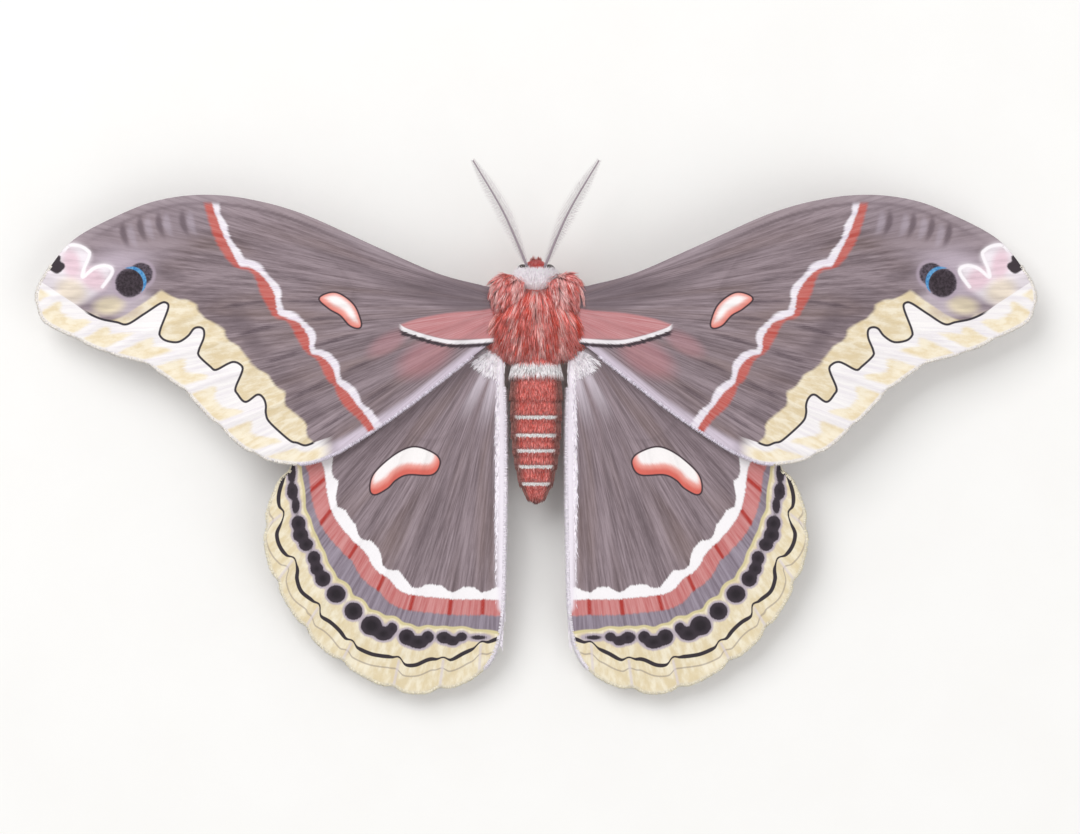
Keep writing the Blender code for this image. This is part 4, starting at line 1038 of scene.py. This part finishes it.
def skin_patches(points, faces):
    """The skin's triangles: corners, cross products, areas, middles and the body part that each is on."""
    triangles = np.array([(f[0], f[k], f[k + 1]) for f in faces for k in range(1, len(f) - 1)])
    a, b, c = (points[triangles[:, k]] for k in range(3))
    cross = np.cross(b - a, c - a)
    middle = (a + b + c) / 3
    return SimpleNamespace(corners=(a, b, c), cross=cross, area=np.linalg.norm(cross, axis=1) / 2,
                           middle=middle, part=regions(middle)[0])


# ---- coat ----
def tufts(name, material, root, aim, normal, length, width, tint, uv, lift, settle, rings, flat=0.35):
    """Thin tapered tufts as closed three-sided blades, each a small patch on the coat's own map."""
    count = len(root)
    length, width, lift, settle = (np.broadcast_to(v, count)[:, None] for v in (length, width, lift, settle))
    across = unit(np.cross(aim, normal))
    strand = DRAW.random(count)
    points, along = [], []
    for k in range(rings):
        s = k / rings
        centre = root + aim * length * s + normal * length * (lift * s - settle * s * s)
        half = width * (1.0 - 0.25 * s) * (0.9 if k == 0 else 1.0) / 2
        points += [centre - across * half, centre + across * half, centre + normal * half * 2 * flat]
        along += [s] * 3
    points.append(root + aim * length + normal * length * (lift - settle))
    along.append(1.0)
    size = len(points)

    faces = [(0, 2, 1)]
    for k in range(rings - 1):
        a, b = 3 * k, 3 * k + 3
        for i, j in ((0, 1), (1, 2), (2, 0)):
            faces += [(a + i, a + j, b + j), (a + i, b + j, b + i)]
    last = 3 * (rings - 1)
    faces += [(last + i, last + j, size - 1) for i, j in ((0, 1), (1, 2), (2, 0))]
    everything = (np.array(faces, np.int32)[None] + (np.arange(count) * size)[:, None, None]).reshape(-1, 3)

    piece = make_piece(name, np.stack(points, axis=1).reshape(-1, 3), everything, material)
    add_values(piece, "along", np.tile(along, count))
    add_values(piece, "strand", np.repeat(strand, size))
    add_tint(piece, np.repeat(tint, size, axis=0))
    offset = np.array([[(0.0, 1.0, 0.5)[j % 3], s] for j, s in enumerate(along)]) * PATCH
    offset[-1, 0] = PATCH / 2
    corner = (uv[:, None, :] + offset[None]).reshape(-1, 2)
    layer = piece.data.uv_layers.new(name="OFBake")
    layer.data.foreach_set("uv", corner[everything.ravel()].astype(np.float32).ravel())


def body_map(points, part=ON_THORAX):
    """The body unrolled round its own length; the legs have a strip of their own."""
    x, y, z = points.T
    leg = part >= ON_FEMUR
    turn = np.arctan2(x, z - 8.2) / (2 * math.pi) + 0.5
    u = np.where(leg, 0.64 + 0.34 * np.clip((x + 16) / 32, 0, 1), 0.01 + 0.6 * turn)
    leg_v = 0.01 + 0.97 * np.clip((y + 22) / 30 * 0.5 + z / 14, 0, 1)
    v = np.where(leg, leg_v, 0.01 + 0.97 * np.clip((y + 28.5) / 40.0, 0, 1))
    return np.stack([u, v], axis=1)


def sample_skin(skin, count, keep):
    """Random places on the skin's triangles, weighted by keep: points and normals."""
    weight = skin.area * keep
    pick = DRAW.choice(len(weight), count, p=weight / weight.sum())
    u, v = DRAW.random(count), DRAW.random(count)
    flip = u + v > 1
    u, v = np.where(flip, 1 - u, u), np.where(flip, 1 - v, v)
    a, b, c = (corner[pick] for corner in skin.corners)
    place = a + (b - a) * u[:, None] + (c - a) * v[:, None]
    return place, skin.cross[pick] / np.maximum(2 * skin.area[pick], 1e-12)[:, None]


def tangent(flow, normal):
    """The flow's direction along the skin."""
    return unit(flow - normal * (flow * normal).sum(1)[:, None])


def gathered(root, aim, length, groups, pull):
    """Turns each tuft's aim towards the tip of the lock that it belongs to."""
    guides = DRAW.choice(len(root), groups, replace=False)
    nearest = np.empty(len(root), int)
    for start in range(0, len(root), CHUNK):
        far = np.linalg.norm(root[start : start + CHUNK, None] - root[guides][None], axis=2)
        nearest[start : start + CHUNK] = guides[far.argmin(1)]
    target = root[nearest] + aim[nearest] * length[nearest, None]
    return unit(aim * (1 - pull) + unit(target - root) * pull)


def jitter(count, amount):
    return DRAW.normal(0, amount, (count, 3))


def vary(tint, amount):
    """Gives each tuft a tint a little lighter or darker than its neighbours'."""
    return np.clip(tint * np.exp(DRAW.normal(0, amount, (len(tint), 1))), 0, 1)


def all_of(row, count):
    return np.tile(np.array(row, float), (count, 1))


def thorax_coat(skin, name, way, upper, count):
    """One quarter of the thorax's long hair, combed back from the collar over the abdomen's base."""
    above = (skin.middle[:, 2] > THORAX_SPLIT_Z) == upper
    keep = (skin.part <= ON_LOBE) & above & (skin.middle[:, 0] * way >= 0)
    root, normal = sample_skin(skin, count, keep)
    x, y, _ = root.T
    out = np.abs(x)
    flank = rise(out, 4.4, 6.0) * rise(y, -4.5, -1.5) * (1 - rise(y, 0.5, 2.5))
    flow = all_of((0.0, -1.0, 0.0), count)
    flow[:, 2] = 0.35 * rise(y, 2.0, 5.5) - 0.6 * rise(-y, 3.6, 6.2)
    flow[:, 0] = 0.07 * x + way * (0.05 + 0.38 * rise(out, 2.8, 5.2) * rise(-y, -4.5, 0.5))
    flow[:, 0] += way * 0.5 * flank
    # Where the flow would run into the air, at the rear, the hair hangs down instead.
    steep = rise((flow * normal).sum(1) / np.linalg.norm(flow, axis=1), 0.7, 0.92)
    flow = flow * (1 - steep[:, None]) + np.array([0.0, 0.0, -1.0]) * steep[:, None]
    combed = tangent(flow, normal)
    aim = tangent(flow + jitter(count, 0.10), normal)

    length = DRAW.uniform(2.4, 4.2, count) * (1 - 0.45 * steep)
    length *= 1 - 0.4 * rise(y, 1.5, 5.5)
    lobe_gap = egg_gap(root * np.array([way, 1, 1]), *LOBE)
    fold = (np.abs(egg_gap(root, *THORAX)) < 0.3) & (np.abs(lobe_gap) < 0.3) & (out > 4.6)
    length[fold] *= 0.35
    length = np.minimum(length, np.maximum(1.6, y + 7.5 + DRAW.normal(0, 0.5, count)))
    aim = gathered(root, aim, length, 110, 0.4)
    stray = (aim * combed).sum(1) < 0.86
    aim[stray] = combed[stray]

    patchy = np.sin(x * 2.1 + 0.7) + np.sin(x * 4.7 + y * 0.6) + DRAW.normal(0, 0.8, count)
    lobe = regions(root)[0] == ON_LOBE
    tint = all_of(linear((231, 119, 112)), count)
    for here, colour in (
        (patchy > 0.8, (246, 181, 176)), (patchy < -0.9, (218, 84, 68)),
        (lobe & (patchy >= -0.9), (241, 150, 147)), (lobe & (patchy > 0.2), (249, 190, 187)),
        (lobe & (patchy < -0.9), (226, 113, 104)),
    ):
        tint[here] = linear(colour)
    tint = vary(tint, 0.13)
    lift = DRAW.uniform(0.16, 0.32, count) * (1 + 0.4 * flank)
    tufts(name, FUR, root, aim, normal, length, DRAW.uniform(0.08, 0.18, count), tint, body_map(root),
          lift, lift * (0.9 - 0.6 * flank), 3)


def collar_coat(skin, count):
    """The white ruff, which stands forwards over the head."""
    root, _ = sample_skin(skin, count, (skin.part == ON_NECK) & (skin.middle[:, 1] > 4.0))
    radial = root - np.array(NECK[0])
    radial[:, 1] = 0
    radial = unit(radial)
    brow = rise(np.abs(root[:, 0]), 0.9, 1.9) * rise(root[:, 2], 8.8, 9.6)
    aim = radial * 0.33 + np.array([0, 1.0, 0]) * DRAW.uniform(0.5, 1.2, count)[:, None] + jitter(count, 0.10)
    aim[:, 0] += 0.45 * brow * np.sign(root[:, 0])
    length = DRAW.uniform(1.0, 1.7, count) * (1 + 0.25 * brow)
    aim = gathered(root, unit(aim), length, 60, 0.25)
    tint = vary(all_of(linear(WHITE_HAIR), count), 0.04)
    tufts("collar_coat", PALE_FUR, root, aim, radial, length, DRAW.uniform(0.07, 0.13, count), tint,
          body_map(root), 0.2, 0.1, 3)


def eye_distance(points):
    """Distance to the middle of the nearer eye."""
    eyes = [np.array(mirrored(EYE[0], side)) for side in (1, -1)]
    return np.min([np.linalg.norm(points - eye, axis=1) for eye in eyes], axis=0)


def head_coat(skin, count):
    """Short hair that lies forwards on the crown and falls over the face, white beside the eyes."""
    keep = (skin.part == ON_HEAD) & (eye_distance(skin.middle) > EYE[1] * 1.02)
    root, normal = sample_skin(skin, count, keep)
    up = rise(root[:, 2], 8.6, 9.8)
    flow = np.stack([root[:, 0] * 0.15, 0.6 + 0.6 * up, -1.0 + 1.1 * up], axis=1) + jitter(count, 0.15)
    tint = markings(root)
    beside_eye = (eye_distance(root) < EYE[1] + 0.45) & (root[:, 2] > 8.9) & (root[:, 1] < 8.0)
    tint[beside_eye] = linear(WHITE_HAIR)
    tint = vary(tint, 0.12)
    tufts("head_coat", FUR, root, tangent(flow, normal), normal, DRAW.uniform(0.4, 0.8, count),
          DRAW.uniform(0.045, 0.09, count), tint, body_map(root), 0.45, 0.3, 2)


def abdomen_coat(skin, count):
    """Short hair that lies back; it is shortest on the white rings, so that their edges stay clear."""
    root, normal = sample_skin(skin, count, (skin.part == ON_ABDOMEN) & (skin.middle[:, 1] < -4.6))
    y = root[:, 1]
    aim = tangent(all_of((0.0, -1.0, 0.0), count) + jitter(count, 0.12), normal)
    length = DRAW.uniform(0.6, 1.1, count)
    # The tint carries the painted shade that markings() lays down the abdomen's sides.
    tint = markings(root - np.array([0, 0.15, 0]))
    white = tint[:, 1] > 0.4
    tint = vary(tint, 0.13)
    length = np.where(white, DRAW.uniform(0.3, 0.45, count), length)
    for hem in RINGED_HEMS:
        ahead = y - (hem + 0.28)
        length = np.where((ahead > 0) & (ahead < length), np.maximum(0.22, ahead), length)
    length = np.where(y > -8.4, DRAW.uniform(0.9, 1.5, count), length)
    tufts("abdomen_coat", FUR, root, aim, normal, length, DRAW.uniform(0.08, 0.16, count), tint,
          body_map(root), 0.22, 0.17, 2)


def leg_coat(skin, count):
    """Short hair along the legs, kept off the floor."""
    keep = ((skin.part == ON_FEMUR) | (skin.part == ON_TIBIA)) * 1.0 + (skin.part == ON_TARSUS) * 0.8
    root, normal = sample_skin(skin, count, keep)
    part, along = regions(root)
    aim = tangent(along + jitter(count, 0.2), normal)
    length = np.where(part == ON_TARSUS, DRAW.uniform(0.2, 0.35, count), DRAW.uniform(0.45, 0.85, count))
    root[:, 2] = np.maximum(root[:, 2], 0.12)
    aim[:, 2] = np.where(root[:, 2] < 0.5, np.maximum(aim[:, 2], 0.0), aim[:, 2])
    normal[:, 2] = np.where(root[:, 2] < 0.4, np.maximum(normal[:, 2], 0.0), normal[:, 2])
    tint = vary(markings(root), 0.15)
    tufts("leg_coat", FUR, root, aim, normal, length, DRAW.uniform(0.06, 0.12, count), tint,
          body_map(root, part), 0.2, 0.14, 2)


def margin_fringe(name, plan, side, start, end, tint, length, count):
    """Short scales that stand out of the wing's margin between two points of its outline."""
    outline = wing_outline(plan)
    a, b = (np.linalg.norm(outline - np.array(point), axis=1).argmin() for point in (start, end))
    line = outline[a:b] if b > a else np.vstack([outline[a:], outline[:b]])
    steps = travelled(line)
    s = DRAW.uniform(0, steps[-1], count)
    place = places_on(line, steps, s)
    ahead = places_on(line, steps, np.minimum(s + 0.6, steps[-1]))
    along = ahead - places_on(line, steps, np.maximum(s - 0.6, 0))
    along /= np.linalg.norm(along, axis=1)[:, None]
    out = np.stack([along[:, 1], -along[:, 0]], axis=1)
    if ((place - outline.mean(0)) * out).sum() < 0:
        out = -out
    x, y = (place - out * 0.25).T
    z = sheet_z(x, y) + plan["step"] + DRAW.uniform(-0.06, 0.06, count)
    aim = np.stack([out[:, 0] * side, out[:, 1], np.zeros(count)], axis=1)
    aim = aim + jitter(count, 0.18) * np.array([1, 1, 0.4])
    aim[:, 2] += (sheet_z(x + out[:, 0] * 0.3, y + out[:, 1] * 0.3) - sheet_z(x, y)) / 0.3
    tint = vary(all_of(linear(tint), count), 0.06)
    strip = (0.1 if side > 0 else 0.6) + DRAW.uniform(0, 0.3, count)
    uv = np.stack([0.01 + 0.97 * s / steps[-1], strip], axis=1)
    length = DRAW.uniform(0.7, 1.1, count) * length
    tufts(name, PALE_FUR, np.stack([x * side, y, z], axis=1), unit(aim), all_of((0.0, 0.0, 1.0), count), length,
          DRAW.uniform(0.08, 0.15, count), tint, uv, 0.0, 0.0, 2, 0.25)


def upper_surface(plan, points):
    """Height of a wing's upper face, with its veins and the folds between them."""
    vein = vein_distance(plan, points)
    height = sheet_z(*points.T) + plan["step"] + MEMBRANE / 2
    return height + vein_ridge(points, vein) - PLEAT * rise(vein, 0.0, 2.2)


def fan_places(centre, reach, angles, length, tint, count):
    """Hair thrown over a fan that opens from the wing's root, each combed straight out from there."""
    r = reach * DRAW.random(count) ** 1.25
    a = np.radians(DRAW.uniform(angles[0], angles[1], count))
    way = np.stack([np.sin(a), -np.cos(a)], axis=1)
    lengths = DRAW.uniform(0.6, 1.1, count) * length * (1 - 0.45 * r / reach)
    return np.array(centre) + way * r[:, None], way, lengths, all_of(linear(tint), count)


def oval_places(centre, radii, flow, length, tint, count):
    """Hair thrown over an oval, all combed one way."""
    r = DRAW.random(count) ** 0.75
    t = DRAW.uniform(0, 2 * math.pi, count)
    root = np.stack([centre[0] + r * np.cos(t) * radii[0], centre[1] + r * np.sin(t) * radii[1]], axis=1)
    return root, all_of(flow, count), DRAW.uniform(0.6, 1.1, count) * length, all_of(linear(tint), count)


def hindwing_down(name, side):
    """Soft white hair that lies on a hindwing near its root and along its inner edge."""
    places = (
        fan_places((5.0, -3.4), 5.2, (-4, 58), 1.9, (248, 243, 249), 1300),
        oval_places((5.3, -26.0), (0.85, 23.0), (0.05, -1.0), 1.4, (247, 241, 250), 2900),
    )
    root, aim, length, tint = (np.concatenate(part) for part in zip(*places))
    on_wing = root[:, 0] > 4.75
    root, aim, length, tint = root[on_wing], aim[on_wing], length[on_wing], vary(tint[on_wing], 0.05)
    aim = unit(aim + DRAW.normal(0, 0.13, aim.shape))
    low = upper_surface(HINDWING, root)
    high = upper_surface(HINDWING, root + aim * length[:, None])
    root3 = np.stack([root[:, 0] * side, root[:, 1], low], axis=1)
    aim3 = unit(np.stack([aim[:, 0] * side, aim[:, 1], (high + 0.04 - low) / length], axis=1))
    uv = 0.02 + 0.95 * np.clip(np.stack([root[:, 0] / 45, (root[:, 1] + 58) / 80], axis=1), 0, 1)
    tufts(name, PALE_FUR, root3, aim3, all_of((0.0, 0.0, 1.0), len(root)), length,
          DRAW.uniform(0.07, 0.13, len(root)), tint, uv, 0.14, 0.12, 3)


# ---- feelers, eyes and claws ----
def feeler_pieces(side, side_name):
    """A thin ringed shaft with two rows of fine straight barbs on either side."""
    line = smooth_curve([mirrored(p, side) for p in FEELER_PATH], 0.12)
    steps = travelled(line)
    total = steps[-1]
    shape = bmesh.new()
    stations = np.linspace(0, total, 150)
    radii = [0.2 - 0.11 * s / total + (0.018 if k % 3 == 0 else 0) for k, s in enumerate(stations)]
    tube_mesh(shape, places_on(line, steps, stations), radii, 10)
    points, faces = taken_from(shape)
    shaft = make_piece("antenna_shaft_" + side_name, points, faces, PALE_FUR)
    add_tint(shaft, all_of(linear(FEELER_GREY), len(points)))
    add_values(shaft, "along", np.full(len(points), 0.7))
    add_values(shaft, "strand", np.full(len(points), 0.5))
    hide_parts("antenna_" + side_name)

    s = np.linspace(1.1, total - 0.25, 62)
    share = s / total
    reach = np.interp(share, [0, 0.12, 0.4, 0.7, 1.0], [0.3, 0.9, 1.75, 1.5, 0.45])
    centre = places_on(line, steps, s)
    along = places_on(line, steps, np.minimum(s + 0.2, total)) - places_on(line, steps, np.maximum(s - 0.2, 0))
    along /= np.linalg.norm(along, axis=1)[:, None]
    across = unit(np.cross(along, [0, 0, 1.0]))
    up = np.cross(across, along)
    rows = []
    for way in (-1, 1):
        for row, tilt, size in ((0, 0.16, 1.0), (1, -0.22, 0.85)):
            aim = across * way + along * (0.55 + 0.15 * row) + up * tilt + jitter(len(s), 0.03)
            rows.append((centre + along * 0.12 * row, unit(aim), along, reach * size))
    root, aim, normal, length = (np.concatenate(part) for part in zip(*rows))
    tint = vary(all_of(linear((168, 154, 162)), len(root)), 0.06)
    uv = np.stack([0.05 + 0.9 * np.tile(share, 4), np.repeat([0.1, 0.3, 0.5, 0.7], len(s))], axis=1)
    tufts("antenna_barbs_" + side_name, PALE_FUR, root, aim, normal, length, 0.11, tint, uv, 0.25, 0.0, 3, 0.4)


def eye_piece(side, side_name):
    """A round glossy compound eye."""
    shape = bmesh.new()
    bmesh.ops.create_icosphere(shape, subdivisions=5, radius=EYE[1])
    for vertex in shape.verts:
        vertex.co += Vector(mirrored(EYE[0], side))
    piece = make_piece("eye_globe_" + side_name, *taken_from(shape), eye_material())
    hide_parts("eye_" + side_name)


def claw_pieces():
    """Small dark hooks on all six feet."""
    shape = bmesh.new()
    for path, _ in leg_lines(-1) + leg_lines(1):
        toe = path[-1]
        along = (toe - path[-2]) / np.linalg.norm(toe - path[-2])
        across = np.cross(along, [0, 0, 1.0])
        for way in (-1, 1):
            hook = [toe + along * s + across * way * (0.06 + 0.3 * max(s, 0)) + np.array([0, 0, drop])
                    for s, drop in ((-0.25, 0.0), (0.2, 0.1), (0.55, 0.04), (0.85, -0.14))]
            tube_mesh(shape, hook, (0.14, 0.12, 0.08, 0.02), 8)
    make_piece("claws", *taken_from(shape), claw_material())


# ---- stage ----
def soft_light(name, place, size, power):
    data = bpy.data.lights.new(name, "AREA")
    data.size = size
    data.energy = power
    lamp = bpy.data.objects.new(name, data)
    lamp.location = place
    lamp.rotation_euler = (-Vector(place)).to_track_quat("-Z", "Y").to_euler()
    bpy.context.scene.collection.objects.link(lamp)


def stage_and_camera():
    """Pale paper-like floor, soft studio light and the straight-down camera."""
    bpy.ops.mesh.primitive_plane_add(size=1.6, location=(0, 0, 0))
    floor = bpy.context.object
    floor.name = "floor"
    floor.data.materials.append(floor_material())

    world = bpy.data.worlds.new("studio")
    bpy.context.scene.world = world
    world.use_nodes = True
    world.node_tree.nodes["Background"].inputs["Color"].default_value = (1.0, 0.99, 0.98, 1.0)
    world.node_tree.nodes["Background"].inputs["Strength"].default_value = 0.58
    soft_light("key", (-0.35, 0.45, 0.7), 0.6, 4.2)
    soft_light("fill", (0.5, -0.3, 0.6), 0.7, 1.5)

    camera = bpy.data.cameras.new("camera")
    camera.lens = 120.0
    camera.sensor_width = 36.0
    camera.clip_start = 0.01
    holder = bpy.data.objects.new("camera", camera)
    holder.location = (0.0006, 0.0018, VIEW_WIDTH * camera.lens / camera.sensor_width + 0.008)
    bpy.context.scene.collection.objects.link(holder)
    bpy.context.scene.camera = holder
    bpy.context.scene.view_settings.view_transform = "Standard"


# The second and third numbers are the painted shade at each hair's root and the painted light at its tip.
FUR = fur_material("red_fur", 0.72, 1.14, 0.2)
PALE_FUR = fur_material("pale_fur", 1.04, 1.14, 0.1, 0.06)

stage_and_camera()
for wing_plan, wing_name, painted, wing_material in (
    (FOREWING, "forewing", forewing_values, forewing_material()),
    (HINDWING, "hindwing", hindwing_values, hindwing_material()),
):
    wing = wing_surface(wing_plan, painted)
    for wing_side, wing_side_name in SIDES:
        wing_piece(f"{wing_name}_{wing_side_name}_painted", wing_plan, wing, wing_side, wing_material,
                   f"{wing_name}_{wing_side_name}")

body = skin_patches(*skin_piece(skin_material()))
for body_side, body_side_name in SIDES:
    thorax_coat(body, "thorax_coat_upper_" + body_side_name, body_side, True, 12200)
    thorax_coat(body, "thorax_coat_lower_" + body_side_name, body_side, False, 7500)
collar_coat(body, 8000)
head_coat(body, 6500)
abdomen_coat(body, 18500)
leg_coat(body, 9000)
for body_side, body_side_name in SIDES:
    feeler_pieces(body_side, body_side_name)
    eye_piece(body_side, body_side_name)
    for fringe_name, fringe_plan, *fringe in FRINGES:
        margin_fringe(fringe_name + body_side_name, fringe_plan, body_side, *fringe)
    hindwing_down("hindwing_down_" + body_side_name, body_side)
claw_pieces()
